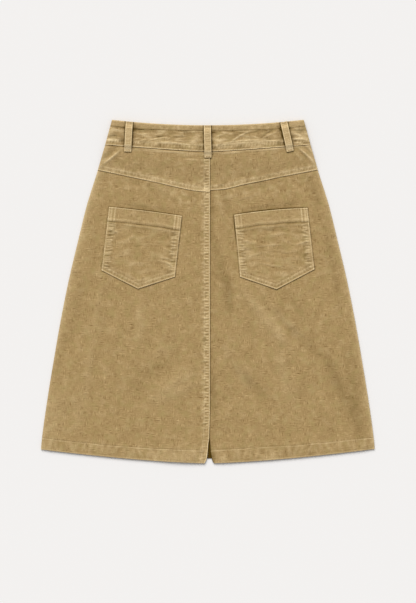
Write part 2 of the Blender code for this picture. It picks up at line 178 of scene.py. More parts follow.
# %% Noise that is stretched along the wales
def noise(tree, place, across, along, detail=2.0, roughness=0.55):
    """Noise of about -1 to 1, with grains of a given size in metres across and along."""
    scaled = node(tree, "ShaderNodeVectorMath", operation="MULTIPLY")
    wire(tree, place, scaled.inputs[0])
    scaled.inputs[1].default_value = (1 / across, 1 / along, 1 / across)
    made = node(tree, "ShaderNodeTexNoise")
    wire(tree, scaled.outputs[0], made.inputs["Vector"])
    for name, value in (("Scale", 1.0), ("Detail", detail), ("Roughness", roughness)):
        made.inputs[name].default_value = value
    return maths(tree, "MULTIPLY_ADD", made.outputs["Fac"], 4.0, -2.0)


def sparse(tree, value):
    """Keeps a noise's sign and flattens its middle, so that only its peaks show."""
    return maths(tree, "MULTIPLY", value, maths(tree, "ABSOLUTE", value))


def total(tree, *terms):
    """Sum of (noise, weight) pairs."""
    result = 0.0
    for value, weight in terms:
        result = maths(tree, "MULTIPLY_ADD", value, weight, result)
    return result


print("noise helpers ready")

# %% The corduroy material
WALE = 0.00155              # pitch of the ribs
CLOTH_LIGHT = (0.590, 0.414, 0.194, 1.0)
CLOTH_SHADE = (0.233, 0.139, 0.047, 1.0)
CLOTH_OLIVE = (0.385, 0.285, 0.112, 1.0)
# paler paint for fading, and painted highlight on ridges and edges
WORN_AND_LIT_COLOUR = (0.847, 0.660, 0.376, 1.0)
# darker paint for dye left in hollows, and painted shade in grooves, under edges and in the slit
SHADE_AND_DYE_COLOUR = (0.080, 0.043, 0.001, 1.0)
STROKES = 0.62              # strength of the single wales and fine wrinkles that catch the light
RIB_TONE = 0.05             # how much a rib changes the tone
NAP_LEVEL = 0.462           # tone of plain nap, from CLOTH_SHADE at 0 to CLOTH_LIGHT at 1
SHADE_CURVE = 1.4            # a faint shade counts for less than its share
PILE_HEIGHT = 0.0003        # height of the pile's bumps
SHEEN_TINT = (0.95, 0.80, 0.55, 1.0)


def make_corduroy(name):
    material = bpy.data.materials.new(name)
    material.use_nodes = True
    tree = material.node_tree
    shader = tree.nodes["Principled BSDF"]
    cloth = node(tree, "ShaderNodeUVMap", uv_map="grain").outputs[0]
    patches = noise(tree, cloth, 0.019, 0.026, detail=3.0)
    streaks = noise(tree, cloth, 0.0032, 0.0130, detail=2.0)
    flecks = noise(tree, cloth, 0.0058, 0.0050, detail=3.0, roughness=0.6)
    grains = noise(tree, cloth, 0.0026, 0.0028, detail=3.0, roughness=0.7)
    tints = noise(tree, cloth, 0.016, 0.016, detail=2.0)
    standing = sparse(tree, noise(tree, cloth, 0.0018, 0.0100, detail=1.0))
    lying = sparse(tree, noise(tree, cloth, 0.0100, 0.0020, detail=1.0))
    choice = maths(tree, "MULTIPLY_ADD", noise(tree, cloth, 0.014, 0.014), 1.3, 0.5, clamp=True)
    busy = maths(tree, "MULTIPLY_ADD", noise(tree, cloth, 0.020, 0.017), 0.9, 0.9, clamp=True)
    strokes = maths(tree, "MULTIPLY_ADD", maths(tree, "SUBTRACT", lying, standing), choice, standing)
    strokes = maths(tree, "MULTIPLY", strokes, busy)
    nap = total(
        tree, (patches, 0.095), (streaks, 0.042), (flecks, 0.062), (grains, 0.110), (strokes, STROKES)
    )

    across = node(tree, "ShaderNodeSeparateXYZ")
    wire(tree, cloth, across.inputs[0])
    turn = maths(tree, "MULTIPLY_ADD", across.outputs["X"], 2 * math.pi / WALE, streaks)
    rib = maths(tree, "SINE", turn)
    nap = maths(tree, "MULTIPLY_ADD", rib, RIB_TONE, nap)
    nap = maths(tree, "ADD", nap, NAP_LEVEL, clamp=True)
    colour = blend(tree, nap, CLOTH_SHADE, CLOTH_LIGHT)
    olive = maths(tree, "MULTIPLY_ADD", tints, 0.60, 0.08, clamp=True)
    colour = blend(tree, olive, colour, CLOTH_OLIVE)

    # the paler layer: fading and painted highlight; the darker layer: dye in hollows and painted shade
    worn = node(tree, "ShaderNodeAttribute", attribute_name="worn").outputs["Fac"]
    deep = node(tree, "ShaderNodeAttribute", attribute_name="deep").outputs["Fac"]
    faded = maths(tree, "MULTIPLY_ADD", grains, 0.5, 1.0)
    colour = blend(tree, maths(tree, "MULTIPLY", worn, faded, clamp=True), colour, WORN_AND_LIT_COLOUR)
    shaded = maths(tree, "POWER", deep, SHADE_CURVE)
    colour = blend(tree, shaded, colour, SHADE_AND_DYE_COLOUR)
    wire(tree, colour, shader.inputs["Base Color"])

    fuzz = noise(tree, cloth, 0.0004, 0.0005)
    height = total(tree, (rib, 0.45), (fuzz, 0.15), (grains, 0.50), (flecks, 0.45), (strokes, 1.5))
    bump = node(tree, "ShaderNodeBump")
    bump.inputs["Strength"].default_value = 0.6
    bump.inputs["Distance"].default_value = PILE_HEIGHT
    wire(tree, height, bump.inputs["Height"])
    wire(tree, bump.outputs["Normal"], shader.inputs["Normal"])
    shader.inputs["Roughness"].default_value = 0.92
    shader.inputs["Specular IOR Level"].default_value = 0.10
    shader.inputs["Sheen Weight"].default_value = 0.22
    shader.inputs["Sheen Roughness"].default_value = 0.5
    shader.inputs["Sheen Tint"].default_value = SHEEN_TINT
    return material


corduroy = make_corduroy("corduroy")
print("corduroy nodes:", len(corduroy.node_tree.nodes))


# %% Thread and button metal
def make_finish(name, light, dark, grain, roughness, metallic, depth):
    """A finish for small things: two tones broken up by a fine noise that also roughens it."""
    material = bpy.data.materials.new(name)
    material.use_nodes = True
    tree = material.node_tree
    shader = tree.nodes["Principled BSDF"]
    place = node(tree, "ShaderNodeTexCoord").outputs["Object"]
    spots = noise(tree, place, grain, grain, detail=3.0)
    share = maths(tree, "MULTIPLY_ADD", spots, 0.5, 0.5, clamp=True)
    wire(tree, blend(tree, share, dark, light), shader.inputs["Base Color"])
    bump = node(tree, "ShaderNodeBump")
    bump.inputs["Strength"].default_value = 0.4
    bump.inputs["Distance"].default_value = depth
    wire(tree, spots, bump.inputs["Height"])
    wire(tree, bump.outputs["Normal"], shader.inputs["Normal"])
    shader.inputs["Roughness"].default_value = roughness
    shader.inputs["Metallic"].default_value = metallic
    return material


thread = make_finish(
    "thread", (0.560, 0.415, 0.215, 1.0), (0.380, 0.265, 0.120, 1.0),
    grain=0.0007, roughness=0.7, metallic=0.0, depth=0.0001,
)
brass = make_finish(
    "aged_brass", (0.520, 0.370, 0.180, 1.0), (0.230, 0.150, 0.065, 1.0),
    grain=0.0016, roughness=0.40, metallic=1.0, depth=0.00005,
)
print("finishes:", thread.name, brass.name)

# %% [markdown]
# ## From a solid wall to a fine grid
# A cut piece has four edges: its low and top edge and its two sides. Cutting the solid in thin
# slices finds those edges, and a Coons patch, which blends four edge curves, fills the space
# between them with a grid. Each point also knows how far it is from the four edges. Sewing
# happens along edges, so bands, stitch lines and puckers are all said in those distances.

# %% The four edges of a solid
EDGE_SAMPLES = 160
EDGE_INSET = 0.00002        # slices stay just inside the corners
NO_RUN = 1e-9               # an edge with a shorter run lies in the slice
DIAGONALS = {"a": (-1, -1), "b": (1, -1), "c": (1, 1), "d": (-1, 1)}
SIDES = {           # first corner, last corner, axis along the side, end of the slice
    "low": ("a", "b", 0, 0),
    "top": ("d", "c", 0, 1),
    "left": ("a", "d", 1, 0),
    "right": ("b", "c", 1, 1),
}


def slice_ends(starts, ends, axis, at):
    """The lowest and highest point across a cut through the solid's edges."""
    crossing = (starts[:, axis] - at) * (ends[:, axis] - at) <= 0
    low, high = starts[crossing], ends[crossing]
    run = high[:, axis] - low[:, axis]
    share = np.where(np.abs(run) > NO_RUN, (at - low[:, axis]) / np.where(run == 0, 1, run), 0.0)
    other = low[:, 1 - axis] + share * (high - low)[:, 1 - axis]
    return other.min(), other.max()


def edges_of(name):
    """Corner points and edge curves of a piece in plan, read from its solid."""
    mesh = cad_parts[name].data
    points = np.array([v.co[:] for v in mesh.vertices])
    pairs = np.array([e.vertices[:] for e in mesh.edges])
    starts, ends = points[pairs[:, 0]], points[pairs[:, 1]]
    edges = SimpleNamespace(name=name)
    edges.corner = {k: points[np.argmax(points[:, :2] @ way)][:2] for k, way in DIAGONALS.items()}
    for side, (first, last, axis, end) in SIDES.items():
        first, last = edges.corner[first], edges.corner[last]
        run = np.linspace(first[axis], last[axis], EDGE_SAMPLES)
        inner = np.clip(run, run.min() + EDGE_INSET, run.max() - EDGE_INSET)
        curve = np.zeros((EDGE_SAMPLES, 2))
        curve[:, axis] = run
        curve[:, 1 - axis] = [slice_ends(starts, ends, axis, at)[end] for at in inner]
        curve[0], curve[-1] = first, last
        setattr(edges, side, curve)
    return edges


def on(curve, share):
    """Points at shares 0 to 1 along an edge curve."""
    steps = np.linspace(0, 1, len(curve))
    return np.stack([np.interp(share, steps, curve[:, k]) for k in (0, 1)], -1)


print("reads the edges of a piece by", EDGE_SAMPLES, "slices each")

# %% A grid between four edges
ROLLED = (0.0, 0.0003, 0.0009, 0.0018, 0.0030, 0.0043, 0.0056)      # round a side fold
TURNED = (0.0, 0.0003, 0.0007, 0.0012, 0.0019, 0.0028)              # a turned, stitched edge
BUTTED = (0.0, 0.0004, 0.0010, 0.0018, 0.0030, 0.0050, 0.0080)      # sewn to its neighbour
BAND_START, BAND_STEP, BAND_STEPS = 0.0024, 0.00105, 13             # even steps across a seam's band
BANDED = (0.0, 0.0004, 0.0009, 0.0015) + tuple(BAND_START + BAND_STEP * k for k in range(BAND_STEPS))
CUT = (0.0, 0.0010)                                                 # a hidden edge


def spread(lengths, first, count, last):
    """Distances along each length: set ones at both ends and even ones between."""
    lengths = np.atleast_1d(lengths).astype(float)[:, None]
    start, end = first[-1], lengths - last[-1]
    between = start + (end - start) * np.arange(1, count) / count
    start = np.broadcast_to(np.array(first), (len(lengths), len(first)))
    return np.hstack([start, between, lengths - np.array(last[::-1])])


def gap(first, last):
    return np.linalg.norm(last - first, axis=-1)


def patch(edges, u, v):
    """Coons patch: plan points at shares u across and v up."""
    a, b, c, d = (edges.corner[k] for k in "abcd")
    left, right, low, top = on(edges.left, v), on(edges.right, v), on(edges.low, u), on(edges.top, u)
    u, v = u[..., None], v[..., None]
    sides = (1 - u) * left + u * right + (1 - v) * low + v * top
    return sides - ((1 - u) * (1 - v) * a + u * (1 - v) * b + u * v * c + (1 - u) * v * d)


def make_grid(edges, columns, rows, face=1):
    """Grid of plan points with their distances from the left, right, low and top edge."""
    width = gap(on(edges.left, 0.5), on(edges.right, 0.5))
    height = gap(on(edges.low, 0.5), on(edges.top, 0.5))
    u, v = spread(width, *columns)[0] / width, spread(height, *rows)[0] / height
    widths = gap(on(edges.left, v), on(edges.right, v))
    heights = gap(on(edges.low, u), on(edges.top, u))
    u = spread(widths, *columns) / widths[:, None]
    v = (spread(heights, *rows) / heights[:, None]).T
    grid = SimpleNamespace(edges=edges, face=face, u=u, v=v, plan=patch(edges, u, v))
    grid.left, grid.right = u * widths[:, None], (1 - u) * widths[:, None]
    grid.low, grid.top = v * heights, (1 - v) * heights
    grid.worn, grid.deep = np.zeros(u.shape), np.zeros(u.shape)
    return grid


print("edge kinds:", "rolled, turned, butted, banded, cut")

# %% [markdown]
# ## Heights
# The solid gives the height of the cloth: rays dropped on it from above, or sent up from below,
# on a coarse lattice. A cubic B-spline through the lattice rounds the solid's facets away. The
# sides are rolled: there the cloth turns down to the side seam in a quarter of an ellipse.

# %% Heights from the solid
INSIDE = 0.0004             # rays stay this far inside the edge
SIDE_ROLL = 0.0055          # width over which the cloth rolls down to a side seam
RAY_START = 1.0             # height above or below the table


def tree_of(mesh):
    """A mesh as a tree on which rays can be cast."""
    return BVHTree.FromPolygons([v.co for v in mesh.vertices], [p.vertices[:] for p in mesh.polygons])


def cast(tree, x, y, face):
    """Where a ray from above (face 1) or from below (face -1) first meets a tree, or None."""
    return tree.ray_cast(Vector((x, y, face * RAY_START)), Vector((0, 0, -face)))[0]


def ray_height(tree, x, y, face):
    hit = cast(tree, x, y, face)
    return hit.z if hit else tree.find_nearest(Vector((x, y, 0.0)))[0].z


def spline_weights(share, cells):
    """Cubic B-spline: lattice indices and their weights for each share."""
    at = np.clip(share, 0, 1) * cells
    start = np.minimum(at.astype(int), cells - 1)
    t = at - start
    weights = [(1 - t) ** 3, 3 * t**3 - 6 * t**2 + 4, -3 * t**3 + 3 * t**2 + 3 * t + 1, t**3]
    return [np.clip(start + k - 1, 0, cells) for k in range(4)], [w / 6 for w in weights]


def splined(lattice, u, v):
    """Cubic B-spline over a lattice of values at shares u across and v up."""
    rows, columns = lattice.shape
    (iu, wu), (iv, wv) = spline_weights(u, columns - 1), spline_weights(v, rows - 1)
    return sum(wu[a] * wv[b] * lattice[iv[b], iu[a]] for a in range(4) for b in range(4))


def lay_on_solid(grid, cells, sides):
    """Set grid.z from the solid, rolling the named side edges down to the side seam."""
    tree = tree_of(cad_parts[grid.edges.name].data)
    width, height = grid.left + grid.right, grid.low + grid.top
    shares = [
        np.clip(np.linspace(0, 1, count + 1), INSIDE / size.max(), 1 - INSIDE / size.max())
        for count, size in zip(cells, (width, height))
    ]
    plan = patch(grid.edges, *np.meshgrid(*shares))
    grid.lattice = np.array([[ray_height(tree, x, y, grid.face) for x, y in row] for row in plan])
    inner = grid.u
    if "left" in sides:
        inner = np.maximum(inner, SIDE_ROLL / width)
    if "right" in sides:
        inner = np.minimum(inner, 1 - SIDE_ROLL / width)
    grid.z = splined(grid.lattice, inner, grid.v)
    for side in sides:
        edge = splined(grid.lattice, np.full_like(grid.u, float(side == "right")), grid.v)
        grid.z = edge + (grid.z - edge) * rolled(getattr(grid, side), SIDE_ROLL)


def rolled(distance, width):
    """Share of full height in a quarter-ellipse roll: 0 at the edge, 1 from `width` inwards."""
    inside = np.clip(distance / width, 0, 1)
    return np.sqrt(np.maximum(1 - (1 - inside) ** 2, 0))


print("cloth rolls over", SIDE_ROLL * 1000, "mm at the sides")

# %% [markdown]
# ## Closing the shell
# A real piece of cloth has two faces, so each shell does too: a fine face where it is seen and a
# coarse one where it isn't. The two rims have different numbers of points; walking round both
# at once, always stepping on the rim that lags, joins them with one strip of triangles. Before
# that the seen face is held off the hidden one, so that no crease is pressed right through.

# %% Two faces and the strip between them
ROUND = 4.0                 # place of the first corner once more, after all four sides


def rim_of(shape, offset):
    """Vertex numbers round a grid, anticlockwise from its low left corner, with their place."""
    index = np.arange(shape[0] * shape[1]).reshape(shape) + offset
    around = [index[0, :-1], index[:-1, -1], index[-1, :0:-1], index[:0:-1, 0]]
    return [
        (side + step / len(run), int(number))
        for side, run in enumerate(around) for step, number in enumerate(run)
    ]


def strip_between(upper, lower):
    """Triangles between two rims, always stepping on the one that lags."""
    upper, lower = upper + [(ROUND, upper[0][1])], lower + [(ROUND, lower[0][1])]
    faces, i, j = [], 0, 0
    while i < len(upper) - 1 or j < len(lower) - 1:
        lower_done, upper_left = j == len(lower) - 1, i < len(upper) - 1
        if lower_done or (upper_left and upper[i + 1][0] <= lower[j + 1][0]):
            faces.append((upper[i][1], lower[j][1], upper[i + 1][1]))
            i += 1
        else:
            faces.append((upper[i][1], lower[j][1], lower[j + 1][1]))
            j += 1
    return faces


def quads(shape, offset, upwards):
    index = np.arange(shape[0] * shape[1]).reshape(shape) + offset
    a, b, c, d = index[:-1, :-1], index[:-1, 1:], index[1:, 1:], index[1:, :-1]
    order = (a, b, c, d) if upwards else (a, d, c, b)
    return np.stack(order, -1).reshape(-1, 4).tolist()


print("rims are joined by one strip of triangles")


# %% One closed mesh with its grain and its paint
def link(name, mesh):
    piece = bpy.data.objects.new(name, mesh)
    bpy.context.scene.collection.objects.link(piece)
    return piece


def close_shell(name, high, low, grain):
    points = np.vstack([np.dstack([g.plan, g.z]).reshape(-1, 3) for g in (high, low)])
    offset = high.u.size
    faces = quads(high.u.shape, 0, True) + quads(low.u.shape, offset, False)
    faces += strip_between(rim_of(high.u.shape, 0), rim_of(low.u.shape, offset))
    mesh = bpy.data.meshes.new(name)
    mesh.from_pydata(points.tolist(), [], faces)
    # each point's paler paint (fading, painted highlight) and darker paint (dye, painted shade)
    for layer in ("worn", "deep"):
        paint = np.concatenate([getattr(g, layer).ravel() for g in (high, low)])
        attribute = mesh.attributes.new(layer, "FLOAT", "POINT")
        attribute.data.foreach_set("value", np.clip(paint, 0, 1).astype(np.float32))
    turned = np.array([grain, (-grain[1], grain[0])])       # rows: across and along the wales
    corners = np.zeros(len(mesh.loops), int)
    mesh.loops.foreach_get("vertex_index", corners)
    cloth = points[corners, :2] @ turned.T
    mesh.uv_layers.new(name="grain").data.foreach_set("uv", cloth.ravel().astype(np.float32))
    mesh.materials.append(corduroy)
    mesh.shade_smooth()
    return link(name, mesh)


UPRIGHT = (1.0, 0.0)        # wales run up the piece
LENGTHWAYS = (0.0, -1.0)    # wales run along the waistband
print("grains:", UPRIGHT, LENGTHWAYS)

# %% Dress one piece
COARSER = 4                 # the hidden face takes one step for this many of the seen one
LEAST_STEPS = 4
THINNEST = 0.0003           # no trough is pressed through the cloth: at least this much is left


def coarse(rule):
    """Grid rule of the hidden face, which is fine only round a rolled side."""
    first, count, last = rule
    steps = max(count // COARSER, LEAST_STEPS)
    return first if first is ROLLED else CUT, steps, last if last is ROLLED else CUT


def keep_thickness(name, seen, hidden):
    """Hold the seen face at least THINNEST away from the hidden one."""
    other_side = splined(hidden.lattice, seen.u, seen.v)
    kept = seen.face * np.maximum(seen.face * seen.z, seen.face * other_side + THINNEST)
    held = np.mean(kept != seen.z)
    if held:
        print(f"{name}: {held:.1%} of the points kept at {1000 * THINNEST:.1f} mm of cloth")
    seen.z = kept


def dress(name, solid, columns, rows, cells, marks, sides=(), face=1, grain=UPRIGHT, inner=None):
    """Replace a solid with a fine shell; marks(grid) adds what sewing and wear have left."""
    edges = edges_of(solid)
    seen = make_grid(edges, columns, rows, face)
    lay_on_solid(seen, cells, sides)
    marks(seen)
    hidden = make_grid(edges, coarse(columns), coarse(rows), -face)
    lay_on_solid(hidden, cells, sides)
    keep_thickness(name, seen, hidden)
    if inner:
        inner(hidden)
    high, low = (seen, hidden) if face > 0 else (hidden, seen)
    piece = close_shell(name, high, low, grain)
    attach(piece, "root")
    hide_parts(solid)
    piece_grids[name] = seen
    return piece


piece_grids = {}
print("each piece keeps its fine grid for the stitching")

# %% [markdown]
# ## What sewing does to cloth
# A seam leaves a row of small marks: a groove where the thread pulls, a fuller edge beside it
# that fades pale, and puckers between two rows of stitches, because the thread shrinks more than
# the pile. Every mark is a change of height and of paint, as a function of the distance from an
# edge: the paint is painted shade in grooves and furrows, and painted highlight with fading on
# ridges and folds. Below, `face` turns heights round on a piece that is seen from underneath.

# %% Grooves, ridges and turned edges
def hump(distance, width):
    """1 where the distance is zero, dying away over a few widths."""
    return np.exp(-((distance / width) ** 2))


def press(grid, distance, depth, width, dark=0.0):
    """A soft groove where the distance is zero, with painted shade inside."""
    share = hump(distance, width)
    grid.z = grid.z - grid.face * depth * share
    grid.deep = grid.deep + dark * share


def swell(grid, distance, height, width, pale=0.0):
    """A soft ridge where the distance is zero, paler on top: fading and painted highlight."""
    share = hump(distance, width)
    grid.z = grid.z + grid.face * height * share
    grid.worn = grid.worn + pale * share


NO_START, NO_END = -1.0, 1.0        # for a band that is open at one end


def between(distance, start, end, soft=0.0008):
    """1 between two distances, falling off softly at both."""
    rise = np.clip((distance - start) / soft + 0.5, 0, 1)
    fall = np.clip((end - distance) / soft + 0.5, 0, 1)
    return (rise * rise * (3 - 2 * rise)) * (fall * fall * (3 - 2 * fall))


# Paler paint over a share of the piece: fading, and painted highlight where light would fall.
def wear_and_highlight(grid, amount, share=1.0):
    grid.worn = grid.worn + amount * share


def turn_edge(grid, distance, radius=0.0010, drop=0.0005):
    """Round the cloth over a turned edge."""
    grid.z = grid.z - grid.face * drop * (1 - rolled(distance, radius))


def fold_line(grid, distance, pale=0.9, height=0.0003, drop=0.0005, ridge=0.0013, width=0.0010):
    """A folded and stitched edge: a crisp ridge just inside it, painted pale for fading and highlight,
    then a round drop.
    """
    swell(grid, distance - ridge, height, width, pale)
    turn_edge(grid, distance, ridge, drop)


print("sewing marks: press, swell, wear, turn_edge, fold_line")

# %% [markdown]
# Puckers are never even. Each one is a small ridge with its own place, width, slant, height and
# reach across the band, all drawn from a generator with a fixed seed. At both rows of stitches
# the cloth is held down, so the ridges die away there. `crown` is the share of a ridge's height
# that is let into the cloth.

# %% Puckers in a band
STANDING, FLUSH = 0.35, 1.0         # crowns of ridges that stand out and of ridges level with the cloth
PUCKER_RANGES = {           # least, most, and how much steadiness brings in each of them
    "width": (0.24, 0.36, 0.0, 0.06),       # of the pitch
    "height": (0.45, 1.0, 0.30, 0.0),
    "reach": (0.60, 1.35, 0.0, 0.0),        # of the way across the band
    "step": (0.70, 1.35, 0.16, 0.20),       # of the pitch, to the next ridge
}
REACH_FADE = 0.30           # share of the band over which a short ridge dies away
HELD = 0.6                  # how abruptly the stitches hold the cloth down
FURROW = 0.55               # lower ground than this is shaded


def pucker(grid, along, across, band, pitch, height, seed, slant=0.10, pale=0.5, dark=0.2,
           weight=1.0, crown=STANDING, steady=0.0):
    """Ridges across a band that runs between two distances from an edge; steady evens them out. Ridge tops
    get fading and painted highlight, the furrows painted shade.
    """
    generator = np.random.default_rng(seed)

    def draw(kind):
        least, most, raised, lowered = PUCKER_RANGES[kind]
        return generator.uniform(least + raised * steady, most - lowered * steady)

    start, end = band
    inside = (across > start) & (across < end)
    share = (across[inside] - start) / (end - start)
    run = along[inside]
    field = np.zeros(run.shape)
    at = run.min() - pitch
    while at < run.max() + pitch:
        width, tall = pitch * draw("width"), draw("height")
        lean, bend = generator.normal(0, slant, 2)
        reach = draw("reach")
        middle = at + (lean * (share - 0.5) + bend * share * (1 - share)) * (end - start)
        ridge = tall * hump(run - middle, width)
        field = np.maximum(field, ridge * np.clip((reach - share) / REACH_FADE, 0, 1))
        at += pitch * draw("step")
    held = np.sin(np.pi * share) ** HELD * (weight[inside] if np.ndim(weight) else weight)
    grid.z[inside] += grid.face * height * (field - crown) * held
    grid.worn[inside] += pale * field * held
    grid.deep[inside] += dark * np.clip(FURROW - field, 0, 1) * held


print("puckers: ridges with their own width, slant, height and reach")

# %% [markdown]
# ## Creases and swells
# Creases are listed one row each: a start and an end, how far the line bows sideways,
# its half width and its height. A negative height is a trough. `lean` makes one flank steeper.
# Between them no stretch of real cloth is quite flat, so a seeded field of faint swells lies
# under everything.

# %% Listed creases
Crease = namedtuple("Crease", "x0 y0 x1 y1 bow half_width height lean")
CREASE_LEGS = 10            # straight legs of a bowed line
CREASE_REACH = 4            # half widths beyond which a crease isn't felt
CREASE_FULL = 0.001         # height from which a crease takes all of its paint
TAPER = 0.7                 # how bluntly a crease ends
TAPER_ENDS = (0.03, 0.97)


def close_to(plan, points, margin):
    """Which plan points lie in the box round some points, grown by a margin."""
    return np.all((plan > points.min(0) - margin) & (plan < points.max(0) + margin), axis=-1)


def crease_share(plan, crease):
    """How strongly each plan point feels a crease, 0 to 1."""
    start, end = np.array([crease.x0, crease.y0]), np.array([crease.x1, crease.y1])
    run = end - start
    sideways = np.array([-run[1], run[0]]) / np.linalg.norm(run)
    t = np.linspace(0, 1, CREASE_LEGS + 1)[:, None]
    line = start + t * run + 4 * crease.bow * t * (1 - t) * sideways
    away = np.full(plan.shape[:-1], np.inf)
    signed, place = np.zeros_like(away), np.zeros_like(away)
    for k, (first, last) in enumerate(zip(line, line[1:])):
        leg, rel = last - first, plan - first
        share = np.clip((rel @ leg) / (leg @ leg), 0, 1)
        off = rel - share[..., None] * leg
        distance = np.linalg.norm(off, axis=-1)
        closer = distance < away
        away = np.where(closer, distance, away)
        signed = np.where(closer, distance * np.sign(off @ sideways), signed)
        place = np.where(closer, (k + share) / CREASE_LEGS, place)
    width = crease.half_width * (1 + crease.lean * np.sign(signed))
    taper = np.sin(np.pi * np.clip(place, *TAPER_ENDS)) ** TAPER
    return hump(signed, width) * taper


def crease_cloth(grid, creases, pale=0.35, dark=0.15):
    """Lay creases on a grid: ridges get fading and painted highlight, troughs painted shade."""
    for crease in creases:
        ends = np.array([[crease.x0, crease.y0], [crease.x1, crease.y1]])
        near = close_to(grid.plan, ends, CREASE_REACH * crease.half_width + abs(crease.bow))
        share = crease_share(grid.plan[near], crease)
        grid.z[near] += grid.face * crease.height * share
        strength = min(abs(crease.height) / CREASE_FULL, 1.0)
        layer, amount = (grid.worn, pale) if crease.height > 0 else (grid.deep, dark)
        layer[near] += amount * strength * share


print("creases are rows of", ", ".join(Crease._fields))

# %% Faint swells
LATTICE = 96
FIELD, WARP, WANDER = 1.0, 2.0, 3.0     # metres between fields for heights, bends and stitched lines
CALM_EDGE = 0.006           # width over which swells die away at an edge
BEND, BEND_SIZE = 0.4, 2.5  # how far wrinkles bend and how slowly, in their own size
BEND_WAY = (0.5, 1.0)       # they bend more along the piece than across it
PLAIN = 0.2                 # parts of a wrinkle lower than this keep their colour
UNEVEN_LEVEL, UNEVEN_SWING = 0.55, 0.7


def swells(plan, size, seed):
    """A smooth seeded field of about -1 to 1, with swells of a given size across and along."""
    values = np.random.default_rng(seed).uniform(-2, 2, (LATTICE, LATTICE))
    at = plan / np.array(size) / (LATTICE - 1)
    return splined(values, at[..., 0] % 1.0, at[..., 1] % 1.0)


def rumple(grid, seed, height=0.0004, size=(0.012, 0.020)):
    """Faint swells that die away at the edges."""
    away = np.minimum.reduce([grid.left, grid.right, grid.low, grid.top])
    calm = np.clip(away / CALM_EDGE, 0, 1)
    grid.z = grid.z + grid.face * height * swells(grid.plan + FIELD, size, seed) * calm


def crinkle(grid, seed, height, size, pale=0.0, dark=0.0, share=1.0):
    """Small sharp wrinkles, with fading and painted highlight on top and painted shade between, where
    share is above zero.
    """
    size = np.array(size)
    bend = BEND * size.max() * swells(grid.plan + WARP, size * BEND_SIZE, seed + 1)
    field = swells(grid.plan + FIELD + bend[..., None] * np.array(BEND_WAY), size, seed)
    grid.z = grid.z + grid.face * height * field * share
    grid.worn = grid.worn + pale * np.clip(field - PLAIN, 0, 1) * share
    grid.deep = grid.deep + dark * np.clip(-field - PLAIN, 0, 1) * share


def wander(grid, amount, size, seed):
    """How far a stitched line strays from its place, in metres."""
    return amount * swells(grid.plan + WANDER, (size, size), seed)


def uneven(grid, seed, size=0.008, least=0.3):
    """A slow seeded change from `least` to 1, for lines that come and go."""
    swing = UNEVEN_LEVEL + UNEVEN_SWING * swells(grid.plan + FIELD, (size, size), seed)
    return least + (1 - least) * np.clip(swing, 0, 1)


print("swells come from a lattice of", LATTICE, "by", LATTICE)


# %% Shade where a piece lies on another
PRESS_REACH = 5             # half widths beyond which the pressed line isn't felt
NO_LENGTH = 1e-12           # keeps a leg without length out of the division


def outline_of(edges):
    """Points round the outline of a piece, anticlockwise."""
    share = np.linspace(0, 1, EDGE_SAMPLES)
    there, back = (edges.low, edges.right), (edges.top, edges.left)
    return np.vstack([on(edge, share) for edge in there] + [on(edge, share)[::-1] for edge in back])


def press_round(grid, solid, depth, width, dark, past=0.0):
    """Press the cloth down along the outline of the piece that lies on it, and paint shade there."""
    outline = outline_of(edges_of(solid))
    near = close_to(grid.plan, outline, PRESS_REACH * width)
    points = grid.plan[near]
    away = np.full(len(points), np.inf)
    for first, last in zip(outline, outline[1:]):
        leg, rel = last - first, points - first
        share = np.clip((rel @ leg) / max(leg @ leg, NO_LENGTH), 0, 1)
        away = np.minimum(away, np.linalg.norm(rel - share[:, None] * leg, axis=-1))
    share = hump(away - past, width)
    grid.z[near] -= grid.face * depth * share
    grid.deep[near] += dark * share


print("press_round marks the cloth beside a pocket or a loop")

# %% [markdown]
# ## The front, underneath
# The front lies face down on the table: two panels with a centre seam, a turned hem, and a
# waistband in two runs that lap at the closure. Its lower face stays flat, because the skirt
# rests on it, so its marks only go into the cloth: with the flush crown even the tops of its
# puckers lie no lower than the cloth.

# %% Marks of the front
HEM = 0.0225                # stitched hem depth


def seam_and_side(grid, sign):
    """Distances from the seam and from the side, on a left (-1) or a right (1) piece."""
    return (grid.right, grid.left) if sign < 0 else (grid.left, grid.right)


# The front's marks: painted shade in the grooves of the seam, the hem and the waist seam, and fading and
# painted highlight on the puckers and the hem's fold.
def mark_front(sign):
    def marks(grid):
        seam, side = seam_and_side(grid, sign)
        pucker(grid, grid.low, seam, band=(0.0006, 0.0090), pitch=0.0060, height=0.00035, seed=101 + sign,
               pale=0.5, crown=FLUSH)
        pucker(grid, side, grid.low, band=(0.0010, HEM), pitch=0.0100, height=0.00030, seed=103 + sign,
               pale=0.3, crown=FLUSH)
        press(grid, seam, depth=0.0006, width=0.0012, dark=0.5)
        press(grid, grid.low - HEM, depth=0.0003, width=0.0010, dark=0.2)
        press(grid, grid.top, depth=0.0005, width=0.0012, dark=0.4)
        wear_and_highlight(grid, 0.5, hump(grid.low, 0.0012))
        grid.z = np.maximum(grid.z, 0.0)
    return marks


# The band's marks: painted shade in its grooves, fading and painted highlight on its puckers and its top
# fold.
def mark_front_band(grid):
    pucker(grid, grid.left, grid.top, band=(0.0105, 0.0360), pitch=0.0100, height=0.00040, seed=107,
           slant=0.8, pale=0.4, crown=FLUSH)
    press(grid, grid.top - 0.0100, depth=0.0004, width=0.0010, dark=0.25)
    press(grid, grid.low - 0.0020, depth=0.0003, width=0.0009, dark=0.15)
    wear_and_highlight(grid, 0.4, hump(grid.top, 0.0014))


def side_by_side(sign, side, count, seam):
    """Column rule of a piece whose side edge is on the left (-1) or on the right (1)."""
    return (side, count, seam) if sign < 0 else (seam, count, side)


SLIT_SHADE = 0.030          # how far the dark inside of the skirt is painted beside the seam
SLIT_RISE = 0.060           # and up from the hem


